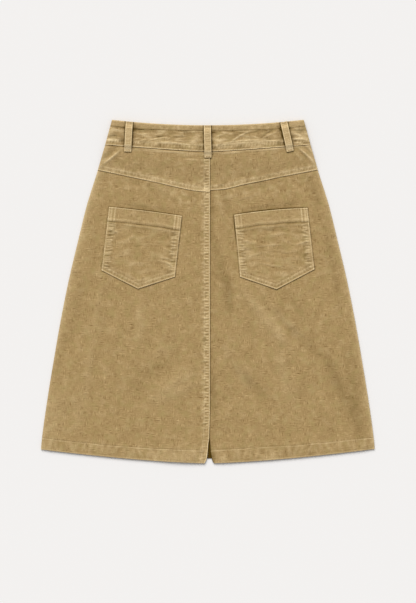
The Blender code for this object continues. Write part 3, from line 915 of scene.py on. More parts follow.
def shade_inside(sign):
    """The inside of the front lies in the dark where the slit in the back opens on it."""
    def inner(grid):
        seam, _ = seam_and_side(grid, sign)
        beside, above = between(seam, NO_START, SLIT_SHADE), between(grid.low, NO_START, SLIT_RISE)
        grid.deep = grid.deep + beside * above
    return inner


print("hem depth:", HEM * 1000, "mm")

# %% Front panels and front waistband
WINGS = (("left", -1), ("right", 1))
front = []
for wing, sign in WINGS:
    front.append(dress(
        f"front_panel_{wing}", f"front_{wing}", columns=side_by_side(sign, ROLLED, 60, BUTTED),
        rows=(TURNED, 190, BUTTED), cells=(24, 36), marks=mark_front(sign), sides=(wing,), face=-1,
        inner=shade_inside(sign),
    ))
    front.append(dress(
        f"front_waistband_{wing}", f"waistband_front_{wing}",
        columns=side_by_side(sign, ROLLED, 110, TURNED), rows=(TURNED, 20, TURNED), cells=(30, 8),
        marks=mark_front_band, sides=(wing,), face=-1, grain=LENGTHWAYS,
    ))
print("front:", [p.name for p in front])

# %% [markdown]
# ## The back panels
# Two long panels meet at the centre back seam. The allowance is pressed to the left and stitched
# down twice, so a narrow band stands proud there, crinkled all the way down. At the hem the seam
# opens into a short slit. The panels are nearly flat, with a few long soft folds.

# %% Creases of the back panels
PANEL_CREASES = (
    Crease(0.0100, 0.1090, 0.0426, -0.0696, 0.006, 0.0110, -0.0013, 0.0),
    Crease(0.0098, 0.1860, 0.0106, 0.1050, 0.000, 0.0040, -0.0007, 0.0),
    Crease(0.0273, 0.1992, 0.0484, 0.1301, 0.000, 0.0075, -0.0010, 0.0),
    Crease(0.0349, 0.0494, 0.0503, -0.0542, 0.000, 0.0120, -0.0006, 0.0),
    Crease(0.0991, -0.0001, 0.2371, -0.1441, -0.006, 0.0110, -0.0012, 0.1),
    Crease(0.1463, 0.0072, 0.1924, -0.0696, 0.000, 0.0080, -0.0008, 0.0),
    Crease(0.2289, -0.1339, 0.2940, -0.2846, 0.002, 0.0130, -0.0014, 0.0),
    Crease(0.2193, -0.1022, 0.2634, -0.2078, 0.000, 0.0100, -0.0007, 0.0),
    Crease(0.0589, 0.0251, 0.1617, -0.1118, -0.006, 0.0100, 0.0012, 0.0),
    Crease(0.1041, -0.0101, 0.1501, -0.1022, 0.000, 0.0080, 0.0005, 0.0),
    Crease(0.1309, -0.1022, 0.1617, -0.2174, 0.000, 0.0120, 0.0007, 0.0),
    Crease(0.0445, -0.1272, 0.0791, -0.1829, 0.000, 0.0070, 0.0011, 0.0),
    Crease(0.0330, -0.1214, 0.1386, -0.2270, -0.004, 0.0110, -0.0010, 0.0),
    Crease(0.0100, -0.1502, 0.0157, -0.2501, 0.000, 0.0080, -0.0009, 0.0),
    Crease(-0.1782, -0.2155, -0.0419, -0.1157, 0.004, 0.0160, -0.0007, 0.0),
    Crease(-0.1110, -0.1234, -0.0572, -0.0984, 0.000, 0.0080, 0.0006, 0.0),
    Crease(-0.1129, -0.2194, -0.0227, -0.1464, 0.004, 0.0120, 0.0012, 0.0),
    Crease(-0.1283, -0.0158, -0.1340, -0.1042, 0.002, 0.0090, 0.0008, 0.0),
    Crease(-0.1974, -0.0274, -0.2070, -0.0811, 0.000, 0.0100, -0.0006, 0.0),
    Crease(-0.2031, 0.0149, -0.2223, -0.0773, 0.000, 0.0060, 0.0007, 0.0),
    Crease(-0.2223, -0.0773, -0.2358, -0.1982, 0.002, 0.0070, 0.0007, 0.0),
    Crease(-0.2310, 0.0600, -0.2630, -0.1099, -0.002, 0.0100, -0.0006, 0.0),
    Crease(-0.2799, -0.1790, -0.3068, -0.2846, 0.000, 0.0200, 0.0007, 0.0),
    Crease(-0.2415, -0.1771, -0.2531, -0.2693, 0.000, 0.0140, 0.0005, 0.0),
    Crease(0.1866, 0.2261, 0.2193, 0.1493, 0.002, 0.0090, -0.0011, 0.0),
    Crease(0.2154, 0.1570, 0.2596, -0.0734, 0.004, 0.0090, -0.0009, 0.0),
    Crease(0.0580, 0.1522, 0.1847, 0.1675, 0.001, 0.0050, -0.0014, 0.2),
    Crease(-0.1839, 0.1666, -0.0515, 0.1502, 0.001, 0.0042, -0.0011, 0.2),
    Crease(0.0513, 0.1723, 0.0887, 0.1867, 0.001, 0.0030, 0.0006, 0.2),
    Crease(-0.0716, 0.1954, -0.0495, 0.1627, 0.001, 0.0026, 0.0004, 0.2),
    Crease(-0.1070, 0.2100, -0.0690, 0.1820, 0.000, 0.0050, 0.0008, 0.0),
    Crease(0.0600, 0.1990, 0.1300, 0.2060, 0.000, 0.0090, -0.0008, 0.0),
    Crease(0.2660, -0.0900, 0.3000, -0.2980, 0.000, 0.0140, -0.0011, 0.0),
    Crease(-0.2700, -0.0700, -0.2880, -0.1900, 0.000, 0.0100, -0.0006, 0.0),
    Crease(-0.1000, -0.3080, -0.0200, -0.3090, 0.000, 0.0150, 0.0009, 0.0),
    Crease(-0.0313, -0.2347, -0.0063, -0.2078, 0.001, 0.0016, 0.0005, 0.0),
    Crease(-0.0351, -0.2501, -0.0073, -0.2232, 0.001, 0.0016, 0.0005, 0.0),
    Crease(0.0167, -0.2347, 0.0465, -0.2520, 0.001, 0.0018, -0.0005, 0.0),
    Crease(0.0148, -0.2578, 0.0493, -0.2798, -0.001, 0.0018, -0.0006, 0.0),
    Crease(-0.0979, -0.3204, -0.0135, -0.3260, 0.000, 0.0070, 0.0014, 0.0),
    Crease(0.0119, -0.3211, 0.0541, -0.3230, 0.000, 0.0080, 0.0006, 0.0),
    Crease(0.0119, 0.1972, 0.0311, 0.1338, 0.002, 0.0046, 0.0018, 0.0),
    Crease(0.1194, -0.0216, 0.1885, -0.0907, -0.003, 0.0060, 0.0010, 0.0),
    Crease(-0.0918, -0.2117, -0.0092, -0.1676, 0.000, 0.0080, 0.0007, 0.0),
    Crease(0.0700, -0.1400, 0.0850, -0.1790, 0.000, 0.0060, 0.0007, 0.0),
)
MOUTH_SHADES = (            # where the panel dips under the mouth of each pocket and takes painted shade
    Crease(-0.1870, 0.1633, -0.0510, 0.1465, 0.0012, 0.0011, -0.0005, 0.0),
    Crease(0.0520, 0.1485, 0.1900, 0.1616, 0.0024, 0.0015, -0.0010, 0.0),
    Crease(0.0493, 0.1490, 0.0541, 0.0980, 0.0000, 0.0013, -0.0009, 0.0),
)
print("panel creases:", len(PANEL_CREASES))

# %% The crinkled band beside the centre back seam
BAND = 0.0132               # width of the band left of the seam


def seam_band(grid, seam, seed, weight=1.0):
    """The crinkled band that stands proud beside the seam, with fading and painted highlight on its ridges
    and painted shade between, and its folded edge with a pale painted highlight.
    """
    along = grid.plan[..., 1]
    pucker(grid, along, seam, (0.0014, 0.0120), 0.0056, 0.0006, seed, slant=0.07,
           pale=0.66, dark=0.50, weight=weight, steady=1.0)
    pucker(grid, along, seam, (0.0085, 0.0190), 0.0085, 0.0003, seed + 20, slant=0.40,
           pale=0.26, dark=0.20, weight=weight)
    crinkle(grid, seed + 60, 0.00016, (0.0040, 0.0026), 0.20, 0.22, between(seam, 0.003, 0.016, 0.006))
    swell(grid, seam - 0.0108, 0.0002, 0.0016, pale=0.24 * uneven(grid, seed + 80, least=0.6))
    fold_line(grid, seam, pale=1.8 * uneven(grid, seed + 40, size=0.016, least=0.7), height=0.0005,
              drop=0.0006, ridge=0.0008, width=0.0007)


def seam_foot(grid, seam, shade):
    """The right-hand panel dives under the seam's folded edge and lies in its shade."""
    press(grid, seam, 0.0006, 0.0012, dark=0.62)
    press(grid, seam, 0.0003, 0.0100, dark=shade)


print("band:", BAND * 1000, "mm")


# %% Dress the back panels
CALM_BELOW = -0.262         # the band is smoother near the slit
CALM_OVER = 0.012           # length over which it gets smoother
CALM_LEAST = 0.35           # share of its puckers that is left there
HEM_WANDER = (              # place across, how much deeper the stitched hem is there
    (-0.290, 0.0004), (-0.150, 0.0006), (-0.060, 0.0017),
    (0.060, 0.0041), (0.150, 0.0023), (0.290, 0.0007),
)
LEFT_RIM = (                # place up, paleness of the left side's fold: fading and painted highlight
    (-0.300, 0.20), (-0.150, 0.10), (-0.050, 0.24), (0.200, 0.36),
)
RIGHT_RIM = 0.16            # paleness of the right side's fold: fading and painted highlight


def hem_depth(x):
    """Depth of the back's stitched hem, which wanders a little."""
    return HEM + np.interp(x, *zip(*HEM_WANDER))


def mark_panel(wing, sign):
    def marks(grid):
        seam, side = seam_and_side(grid, sign)
        rumple(grid, 11 + sign)
        crinkle(grid, 15 + sign, 0.00007, (0.0055, 0.0050), 0.10, 0.12)
        crinkle(grid, 17 + sign, 0.00012, (0.0050, 0.0040), 0.20, 0.20,
                between(grid.top, 0.002, 0.030, 0.02))
        # Painted highlight on crease ridges and painted shade in crease troughs; painted shade beside the
        # pocket, under its mouth and under the yoke seam.
        crease_cloth(grid, PANEL_CREASES, pale=0.12, dark=0.27)
        press_round(grid, f"pocket_{wing}", 0.0003, 0.0009, 0.62, past=0.0007)
        crease_cloth(grid, MOUTH_SHADES, dark=1.0)
        press(grid, grid.top, 0.0004, 0.0011, dark=0.50)
        pucker(grid, side, grid.low, (0.0020, 0.0300), 0.0120, 0.0004, 31 + sign, slant=0.3,
               pale=0.22, dark=0.10)
        hem_line = grid.low - hem_depth(grid.plan[..., 0]) + wander(grid, 0.0008, 0.020, 35)
        # The stitched hem: painted shade in its groove, fading and painted highlight on the ridge beside
        # it, and the hem band painted a little darker.
        press(grid, hem_line, 0.0003, 0.0009, dark=0.32 * uneven(grid, 37))
        swell(grid, hem_line + 0.0017, 0.0002, 0.0008, pale=0.42 * uneven(grid, 39))
        crinkle(grid, 43 + sign, 0.00010, (0.0045, 0.0080), 0.12, 0.16, between(grid.low, 0.0, HEM, 0.002))
        grid.deep = grid.deep + 0.07 * between(grid.low, 0.002, HEM, 0.003)
        # The bottom fold and the side folds are painted pale: fading and painted highlight.
        wear_and_highlight(grid, 0.30, hump(grid.low - 0.0012, 0.0014))
        rim = np.interp(grid.plan[..., 1], *zip(*LEFT_RIM)) if sign < 0 else RIGHT_RIM
        wear_and_highlight(grid, rim, hump(side, 0.0042))
        wear_and_highlight(grid, rim / 3, hump(side, 0.0140))
        if sign > 0:
            wear_and_highlight(grid, 0.14, hump(side, 0.0024))
        turn_edge(grid, grid.low)
        if sign < 0:
            calm = np.clip((grid.plan[..., 1] - CALM_BELOW) / CALM_OVER + 0.5, CALM_LEAST, 1.0)
            seam_band(grid, seam, 5, calm)
        else:
            seam_foot(grid, seam, 0.20)
    return marks


back_panels = [
    dress(
        f"back_panel_{wing}", f"back_{wing}",
        columns=side_by_side(sign, ROLLED, *((104, BANDED) if sign < 0 else (150, BUTTED))),
        rows=(TURNED, 640 if sign < 0 else 455, BUTTED), cells=(26, 44),
        marks=mark_panel(wing, sign), sides=(wing,),
    )
    for wing, sign in WINGS
]
print("points:", [len(p.data.vertices) for p in back_panels])

# %% [markdown]
# ## The yokes
# The yoke is the shaped piece between waistband and panels. Its lower seam is a shallow V: the
# allowance is turned up under the yoke and stitched twice, so the band above the seam is fuller
# and puckered, and painted paler for fading and highlight. Where the hip is cut roundest, the flat
# cloth has slack and drags into a slanting fold at each side.

# %% Creases of the yokes
YOKE_CREASES = (
    Crease(-0.1670, 0.2730, -0.2030, 0.2440, 0.001, 0.0021, 0.0013, 0.25),
    Crease(-0.1740, 0.2760, -0.2070, 0.2500, 0.001, 0.0030, -0.0012, 0.0),
    Crease(-0.1860, 0.2730, -0.2020, 0.2590, 0.001, 0.0034, -0.0008, 0.0),
    Crease(0.1730, 0.2760, 0.2060, 0.2445, 0.002, 0.0018, 0.0013, -0.2),
    Crease(0.1650, 0.2710, 0.1825, 0.2520, -0.001, 0.0018, 0.0003, 0.0),
    Crease(0.1700, 0.2740, 0.1940, 0.2510, 0.001, 0.0026, -0.0010, 0.0),
    Crease(0.1810, 0.2800, 0.2000, 0.2620, 0.001, 0.0022, -0.0007, 0.0),
    Crease(0.1890, 0.2790, 0.2010, 0.2660, 0.001, 0.0018, 0.0007, 0.0),
    Crease(-0.1260, 0.2740, -0.0810, 0.2715, 0.000, 0.0014, 0.0006, 0.1),
    Crease(-0.1010, 0.2700, -0.0360, 0.2665, 0.000, 0.0015, 0.0006, 0.1),
    Crease(0.0210, 0.2640, 0.0690, 0.2680, 0.000, 0.0015, 0.0006, 0.1),
    Crease(0.0840, 0.2690, 0.1440, 0.2750, 0.000, 0.0015, 0.0005, 0.1),
    Crease(-0.0610, 0.2570, -0.0130, 0.2540, 0.001, 0.0022, -0.0005, 0.0),
    Crease(-0.0460, 0.2530, -0.0160, 0.2520, 0.001, 0.0016, 0.0005, 0.0),
)
print("yoke creases:", len(YOKE_CREASES))


# %% Dress the yokes
YOKE_BAND = 0.0115          # height of the puckered band above the yoke seam
SECOND_ROW_WEAR_AND_HIGHLIGHT = (         # place across, paleness above the second row of stitches: fading and painted highlight
    (-0.200, 0.26), (0.000, 0.26), (0.020, 0.07), (0.100, 0.17), (0.180, 0.28),
)
TURN_IN_WEAR_AND_HIGHLIGHT = (            # place across, paleness of the turned-in edge below the waistband: painted highlight and fading
    (-0.145, 0.14), (-0.080, 0.26), (-0.015, 0.50), (0.020, 0.46), (0.140, 0.34),
)
LOOP_PLACES = ("left", "centre", "right")


def mark_yoke(wing, sign):
    def marks(grid):
        seam, side = seam_and_side(grid, sign)
        rumple(grid, 21 + sign, height=0.00035)
        # Crinkles, creases and puckers: fading and painted highlight on the ridges, painted shade in the
        # hollows.
        crinkle(grid, 27 + sign, 0.00010, (0.0055, 0.0042), 0.14, 0.16)
        crease_cloth(grid, YOKE_CREASES, pale=0.60, dark=0.32)
        pucker(grid, grid.left, grid.low, (0.0022, YOKE_BAND), 0.0054, 0.0005, 41 + sign, slant=0.30,
               pale=0.25, dark=0.28)
        crinkle(grid, 29 + sign, 0.00018, (0.0034, 0.0040), 0.24, 0.26,
                between(grid.low, 0.002, YOKE_BAND + 0.003, 0.004))
        press(grid, grid.low - 0.0046, 0.0001, 0.0010, dark=0.08)
        second = np.interp(grid.plan[..., 0], *zip(*SECOND_ROW_WEAR_AND_HIGHLIGHT))
        swell(grid, grid.low - 0.0091, 0.0002, 0.0019, pale=second * uneven(grid, 65, least=0.6))
        # The band, the whole yoke, the side fold and the lower fold are painted paler: fading and painted
        # highlight.
        wear_and_highlight(grid, 0.05, between(grid.low, 0.0, YOKE_BAND))
        wear_and_highlight(grid, 0.02)
        wear_and_highlight(grid, 0.24, hump(side, 0.0085))
        fold_line(grid, grid.low, pale=1.05 * uneven(grid, 45, least=0.5), width=0.0009)
        # Painted shade under the waistband's edge, painted highlight along the turned-in edge below it,
        # and painted shade beside each belt loop.
        press(grid, grid.top, 0.0005, 0.0010, dark=0.50 if sign < 0 else 0.10)
        turn_in = np.interp(grid.plan[..., 0], *zip(*TURN_IN_WEAR_AND_HIGHLIGHT))
        swell(grid, grid.top - (0.0050 if sign < 0 else 0.0017), 0.0002, 0.0014,
              pale=turn_in * uneven(grid, 61, size=0.020, least=0.5))
        press(grid, grid.top - 0.0050, 0.0001, 0.0030, dark=0.12)
        for place in LOOP_PLACES:
            press_round(grid, f"belt_loop_back_{place}", 0.0002, 0.0011, 0.50, past=0.0006)
        if sign < 0:
            seam_band(grid, seam, 7)
            # The crossing of the two seams is painted paler: fading and painted highlight.
            wear_and_highlight(grid, 0.30, between(seam, 0.001, BAND - 0.002) * between(grid.low, 0.0, 0.012))
        else:
            seam_foot(grid, seam, 0.06)
    return marks


yokes = [
    dress(
        f"back_yoke_{wing}", f"yoke_{wing}",
        columns=side_by_side(sign, ROLLED, 130, BANDED if sign < 0 else BUTTED),
        rows=(TURNED, 62, TURNED), cells=(40, 14), marks=mark_yoke(wing, sign), sides=(wing,),
    )
    for wing, sign in WINGS
]
print("points:", [len(p.data.vertices) for p in yokes])

# %% [markdown]
# ## The waistband
# The band is a long strip folded over a stiffener, with its wales along it. A row of stitches a
# thumb's width below the top edge holds the fold down, and washing shrinks the outer cloth into
# long shallow ripples below that row.

# %% Creases of the waistband
BAND_CREASES = (
    Crease(-0.1387, 0.3038, -0.1160, 0.3034, -0.002, 0.0014, 0.0006, 0.1),
    Crease(-0.1387, 0.3098, -0.1170, 0.3112, 0.000, 0.0013, -0.0006, 0.0),
    Crease(-0.1302, 0.2891, -0.1160, 0.2915, 0.001, 0.0012, 0.0005, 0.0),
    Crease(-0.1400, 0.2925, -0.1310, 0.2950, 0.000, 0.0012, 0.0005, 0.0),
    Crease(-0.1160, 0.2883, -0.0784, 0.2946, 0.002, 0.0012, 0.0006, 0.0),
    Crease(-0.1122, 0.2936, -0.0770, 0.2977, 0.001, 0.0013, -0.0006, 0.0),
    Crease(-0.0995, 0.2872, -0.0380, 0.2825, 0.001, 0.0014, 0.0007, 0.0),
    Crease(-0.0640, 0.2898, -0.0430, 0.2886, 0.000, 0.0012, 0.0005, 0.0),
    Crease(-0.0650, 0.2937, -0.0380, 0.2965, 0.001, 0.0015, -0.0008, 0.0),
    Crease(-0.0570, 0.3034, -0.0310, 0.3072, 0.001, 0.0012, 0.0005, 0.0),
    Crease(-0.0570, 0.2980, -0.0410, 0.3012, 0.000, 0.0012, -0.0005, 0.0),
    Crease(-0.0360, 0.2862, -0.0160, 0.2896, 0.001, 0.0034, 0.0006, 0.0),
    Crease(-0.1870, 0.3140, -0.1690, 0.3090, 0.000, 0.0013, 0.0006, 0.0),
    Crease(-0.1910, 0.2990, -0.1690, 0.2975, 0.001, 0.0013, -0.0005, 0.0),
    Crease(-0.1920, 0.2890, -0.1690, 0.2872, 0.001, 0.0012, 0.0006, 0.0),
    Crease(0.0441, 0.2862, 0.0806, 0.3073, 0.002, 0.0015, 0.0009, 0.2),
    Crease(0.0320, 0.2850, 0.1015, 0.2902, 0.002, 0.0012, 0.0006, 0.0),
    Crease(0.1040, 0.2904, 0.1353, 0.2882, 0.000, 0.0012, 0.0005, 0.0),
    Crease(0.0988, 0.2920, 0.1250, 0.3100, 0.001, 0.0015, -0.0007, 0.0),
    Crease(0.1030, 0.2925, 0.1328, 0.3062, 0.001, 0.0013, 0.0004, 0.1),
    Crease(0.0610, 0.2990, 0.0848, 0.2971, 0.000, 0.0012, 0.0005, 0.0),
    Crease(0.0820, 0.2990, 0.0988, 0.2940, 0.000, 0.0012, 0.0005, 0.0),
    Crease(0.0140, 0.2965, 0.0320, 0.3010, 0.001, 0.0014, 0.0005, 0.0),
    Crease(0.1620, 0.3024, 0.1822, 0.2975, 0.001, 0.0013, 0.0006, 0.0),
    Crease(0.1610, 0.3086, 0.1850, 0.3096, 0.000, 0.0013, -0.0006, 0.0),
    Crease(0.1630, 0.2929, 0.1900, 0.2904, 0.001, 0.0012, 0.0005, 0.0),
)
BAND_SHADES = (             # broad dips beside the loops, with painted shade, and the fuller cloth between them, with painted highlight
    Crease(-0.0150, 0.2860, -0.0160, 0.2560, 0.000, 0.0060, -0.0012, 0.0),
    Crease(-0.1650, 0.2960, -0.1690, 0.2840, 0.000, 0.0060, -0.0009, 0.0),
    Crease(0.1380, 0.3200, 0.1400, 0.3020, 0.000, 0.0040, -0.0011, 0.0),
    Crease(0.1610, 0.3010, 0.1660, 0.2820, 0.000, 0.0040, -0.0008, 0.0),
    Crease(-0.1390, 0.3200, -0.1400, 0.3040, 0.000, 0.0040, -0.0009, 0.0),
    Crease(0.0130, 0.3170, 0.0130, 0.2990, 0.000, 0.0040, -0.0004, 0.0),
    Crease(0.0120, 0.2830, 0.0400, 0.2800, 0.000, 0.0070, 0.0006, 0.0),
    Crease(0.1640, 0.3160, 0.1880, 0.3060, 0.000, 0.0100, 0.0008, 0.0),
    Crease(-0.1820, 0.3150, -0.1920, 0.2860, 0.000, 0.0090, 0.0010, 0.0),
    Crease(-0.1440, 0.3092, -0.0780, 0.3050, 0.000, 0.0052, -0.0003, 0.0),
    Crease(-0.0760, 0.3072, -0.0180, 0.3064, 0.000, 0.0026, -0.0004, 0.0),
    Crease(0.0330, 0.2860, 0.1400, 0.2905, 0.000, 0.0055, 0.0005, 0.0),
    Crease(0.1560, 0.3090, 0.1800, 0.2960, 0.000, 0.0070, 0.0006, 0.0),
)
TOP_FOLD = 0.0107           # row of stitches below the top edge at the centre
TOP_FOLD_DROP = 0.0016      # how much deeper it is at the side loops
TOP_FOLD_REACH = 0.110      # how far the side loops are from the centre
TOP_FOLD_MOST = 1.1         # from this share of the way on it gets no deeper
print("waistband creases:", len(BAND_CREASES) + len(BAND_SHADES))


def top_fold(x):
    """Depth of the waistband's stitched top fold, which is deeper towards the sides."""
    return TOP_FOLD + TOP_FOLD_DROP * np.minimum(np.abs(x) / TOP_FOLD_REACH, TOP_FOLD_MOST) ** 2


# %% Dress the back waistband
def mark_waistband(grid):
    below = between(grid.top, TOP_FOLD + 0.001, NO_END, 0.004) * between(grid.low, 0.002, NO_END, 0.004)
    rumple(grid, 47, height=0.00024, size=(0.016, 0.008))
    # Creases, crinkles and puckers: fading and painted highlight on the ridges, painted shade in the dips.
    crease_cloth(grid, BAND_CREASES, pale=0.85, dark=0.62)
    crease_cloth(grid, BAND_SHADES, pale=0.30, dark=0.42)
    crinkle(grid, 48, 0.00018, (0.0085, 0.0022), 0.36, 0.40, below)
    crinkle(grid, 49, 0.00010, (0.0040, 0.0022), 0.20, 0.22)
    pucker(grid, grid.left, grid.low, (0.0030, 0.0135), 0.0054, 0.0003, 53, slant=0.15,
           pale=0.30, dark=0.26)
    # The band, its top edge and its top strip are painted paler: fading and painted highlight.
    wear_and_highlight(grid, 0.04)
    wear_and_highlight(grid, 0.09, between(grid.low, 0.0045, 0.0110, 0.003) * np.clip(grid.plan[..., 0] / 0.02, 0, 1))
    wear_and_highlight(grid, 0.40, hump(grid.top - 0.0010, 0.0009))
    wear_and_highlight(grid, 0.09, between(grid.top, 0.0, TOP_FOLD - 0.001, 0.002))
    fold = grid.top - top_fold(grid.plan[..., 0]) + wander(grid, 0.0008, 0.018, 55)
    # Painted shade in the top fold's groove and in a groove above the low edge, a broad painted shade
    # below the top fold, and a ripple with fading and painted highlight.
    press(grid, fold, 0.0004, 0.0011, dark=0.70 * uneven(grid, 57, size=0.012, least=0.60))
    press(grid, fold - 0.0036, 0.0001, 0.0034, dark=0.16)
    press(grid, grid.low - 0.0038, 0.0001, 0.0010, dark=0.10)
    swell(grid, grid.low - 0.0122 - 0.008 * grid.plan[..., 0], 0.0002, 0.0017,
          pale=(0.46 + 0.6 * grid.plan[..., 0]) * uneven(grid, 63, size=0.020, least=0.45))
    # Painted shade beside each belt loop, and fading and painted highlight along the low fold.
    for place in LOOP_PLACES:
        press_round(grid, f"belt_loop_back_{place}", 0.0002, 0.0012, 0.60, past=0.0008)
        press_round(grid, f"belt_loop_back_{place}", 0.0001, 0.0045, 0.28, past=0.0010)
    fold_line(grid, grid.low, pale=1.9 * uneven(grid, 59, least=0.4), height=0.0004,
              ridge=0.0008, width=0.0007)
    turn_edge(grid, grid.top, radius=0.0016, drop=0.0010)


waistband = dress(
    "back_waistband", "waistband_back", columns=(ROLLED, 380, ROLLED), rows=(TURNED, 50, TURNED),
    cells=(60, 16), marks=mark_waistband, sides=("left", "right"), grain=LENGTHWAYS,
)
print("points:", len(waistband.data.vertices))

# %% [markdown]
# ## The patch pockets
# Each pocket is a pointed patch. Its mouth is turned in by a thumb's width and stitched, and a
# double row of stitches holds its sides and foot, so a puckered band runs all round it. The band's
# outer edge is painted palest, for fading and highlight, and the panel beside it gets painted shade.

# %% Distance from a pocket's foot
def foot_distance(grid):
    """Distance from the pocket's pointed lower edge, square to it, and the place along it."""
    curve = grid.edges.low
    tip = int(np.argmin(curve[:, 1]))
    best, along = np.full(grid.u.shape, np.inf), np.zeros(grid.u.shape)
    for first, last, start in ((0, tip, 0.0), (tip, len(curve) - 1, gap(curve[0], curve[tip]))):
        leg, rel = curve[last] - curve[first], grid.plan - curve[first]
        share = np.clip((rel @ leg) / (leg @ leg), 0, 1)
        away = np.linalg.norm(rel - share[..., None] * leg, axis=-1)
        along = np.where(away < best, start + share * np.linalg.norm(leg), along)
        best = np.minimum(best, away)
    return best, along


POCKET_CREASES = (
    Crease(-0.1890, 0.1190, -0.1700, 0.1150, -0.001, 0.0034, 0.0010, 0.1),
    Crease(-0.0840, 0.0580, -0.0670, 0.0470, 0.001, 0.0020, 0.0010, 0.1),
    Crease(-0.0910, 0.0660, -0.0670, 0.0600, 0.001, 0.0020, 0.0008, 0.1),
    Crease(-0.1590, 0.0960, -0.1390, 0.1100, 0.000, 0.0030, 0.0005, 0.0),
    Crease(-0.1510, 0.0300, -0.1410, 0.0680, 0.002, 0.0040, 0.0002, 0.0),
    Crease(0.0750, 0.0660, 0.1090, 0.0760, 0.001, 0.0030, 0.0005, 0.0),
    Crease(0.1140, 0.1060, 0.1490, 0.1120, 0.001, 0.0032, 0.0006, 0.0),
    Crease(0.0650, 0.0980, 0.0870, 0.0930, 0.001, 0.0024, 0.0005, 0.0),
    Crease(0.0640, 0.0810, 0.0880, 0.0790, 0.000, 0.0042, -0.0010, 0.0),
    Crease(0.1930, 0.0950, 0.1872, 0.1450, 0.000, 0.0055, 0.0002, 0.0),
    Crease(0.1690, 0.0900, 0.1990, 0.0980, 0.001, 0.0024, 0.0008, 0.0),
    Crease(0.0960, 0.1170, 0.1400, 0.1150, 0.000, 0.0030, -0.0005, 0.0),
    Crease(0.0850, 0.0850, 0.1490, 0.0900, 0.002, 0.0016, 0.0005, 0.0),
    Crease(0.0970, 0.0560, 0.1490, 0.0500, -0.002, 0.0018, 0.0005, 0.0),
    Crease(0.1250, 0.0740, 0.1740, 0.0690, 0.001, 0.0016, -0.0005, 0.0),
)
MOUTH = {"left": 0.0278, "right": 0.0268}       # depth of the turned-in hem at the mouth
TACK_RIDGES = ((0.0060, 0.0020, 0.38), (0.0126, 0.0014, 0.42))  # from the side: place, width, paleness for fading and painted highlight
TACK_GROOVES = (0.0097, 0.0160)                                 # and the places of the grooves between
TACK_WEAR_AND_HIGHLIGHT = {"left": (1.0, 1.0), "right": (0.6, 1.2)}           # paleness at the two ends of each mouth: fading and painted highlight
print("pocket creases:", len(POCKET_CREASES))


# %% Dress the pockets
def mark_pocket(wing, sign, seed):
    def marks(grid):
        foot, foot_along = foot_distance(grid)
        rumple(grid, seed)
        body = between(grid.top, MOUTH[wing] + 0.002, NO_END, 0.002) * between(foot, 0.006, NO_END, 0.004)
        mouth = between(grid.top, 0.0, MOUTH[wing])
        # Crinkles, creases and puckers: fading and painted highlight on the ridges, painted shade in the
        # hollows.
        crinkle(grid, seed + 7, 0.00008, (0.0060, 0.0050), 0.12, 0.14)
        crinkle(grid, seed + 8, 0.00010, (0.0110, 0.0030), 0.15, 0.19, body)
        crease_cloth(grid, POCKET_CREASES, pale=0.4, dark=0.3)
        for shift, side, tacked in zip((1, 3), (grid.left, grid.right), TACK_WEAR_AND_HIGHLIGHT[wing]):
            pucker(grid, grid.plan[..., 1], side, (0.0020, 0.0180), 0.0050, 0.0005, seed + shift,
                   slant=0.14, pale=0.56, dark=0.55, weight=body)
            crinkle(grid, seed + shift + 9, 0.00012, (0.0060, 0.0030), 0.18, 0.22,
                    between(side, 0.002, 0.022, 0.006) * body)
            # Painted shade in the grooves beside the sides and the tacks, fading and painted highlight on
            # the tack ridges and the side folds.
            press(grid, side - 0.0092, 0.0001, 0.0012, 0.10 * body)
            for row, width, pale in TACK_RIDGES:
                swell(grid, side - row, 0.0002, width, pale * tacked * mouth)
            for row in TACK_GROOVES:
                press(grid, side - row, 0.0002, 0.0008, 0.20 * mouth)
            fold_line(grid, side, pale=0.80 * uneven(grid, seed + 17, least=0.5),
                      ridge=0.0015, width=0.0009)
        pucker(grid, foot_along, foot, (0.0022, 0.0106), 0.0054, 0.0005, seed + 5, slant=0.25,
               pale=0.28, dark=0.26)
        # The foot: painted shade in its grooves, fading and painted highlight on its ridges and its fold.
        press(grid, foot - 0.0044, 0.0002, 0.0012, dark=0.16 if sign < 0 else 0.26)
        swell(grid, foot - 0.0086, 0.0002, 0.0018, pale=0.32 * uneven(grid, seed + 29, least=0.6))
        press(grid, foot - 0.0118, 0.0001, 0.0009, dark=0.05)
        swell(grid, foot - 0.0150, 0.0001, 0.0024, pale=0.11)
        fold_line(grid, foot, pale=0.85, width=0.0009)
        # The mouth: painted shade in its hem's groove and below the mouth's edge, fading and painted
        # highlight on its ridges and its fold.
        hem_line = grid.top - MOUTH[wing] + wander(grid, 0.0009, 0.012, seed + 21)
        press(grid, hem_line, 0.0005, 0.0012, dark=0.80 * uneven(grid, seed + 23, least=0.55))
        swell(grid, hem_line + 0.0050, 0.0003, 0.0018, pale=0.26 * uneven(grid, seed + 25))
        swell(grid, hem_line - 0.0042, 0.0002, 0.0014, pale=0.20 * uneven(grid, seed + 31))
        press(grid, hem_line - 0.0085, 0.0001, 0.0050, dark=0.17)
        wear_and_highlight(grid, 0.05, mouth)
        press(grid, grid.top - 0.0034, 0.0001, 0.0012, dark=0.12 if sign < 0 else 0.24)
        fold_line(grid, grid.top, pale=0.75 * uneven(grid, seed + 27, least=0.6),
                  ridge=0.0006, width=0.0007)
    return marks


pockets = [
    dress(
        f"patch_pocket_{wing}", f"pocket_{wing}", columns=(TURNED, 124, TURNED),
        rows=(TURNED, 136, TURNED), cells=(16, 20), marks=mark_pocket(wing, sign, 71 + 10 * sign),
    )
    for wing, sign in WINGS
]
print("points:", [len(p.data.vertices) for p in pockets])

# %% [markdown]
# ## The belt loops
# A belt loop is a narrow folded strip, stitched flat at both ends and arched between them, so a
# belt passes under it. Being handled most, it fades palest of all, and its slope down to the yoke,
# which faces away from the lamp, is painted paler still as painted light.

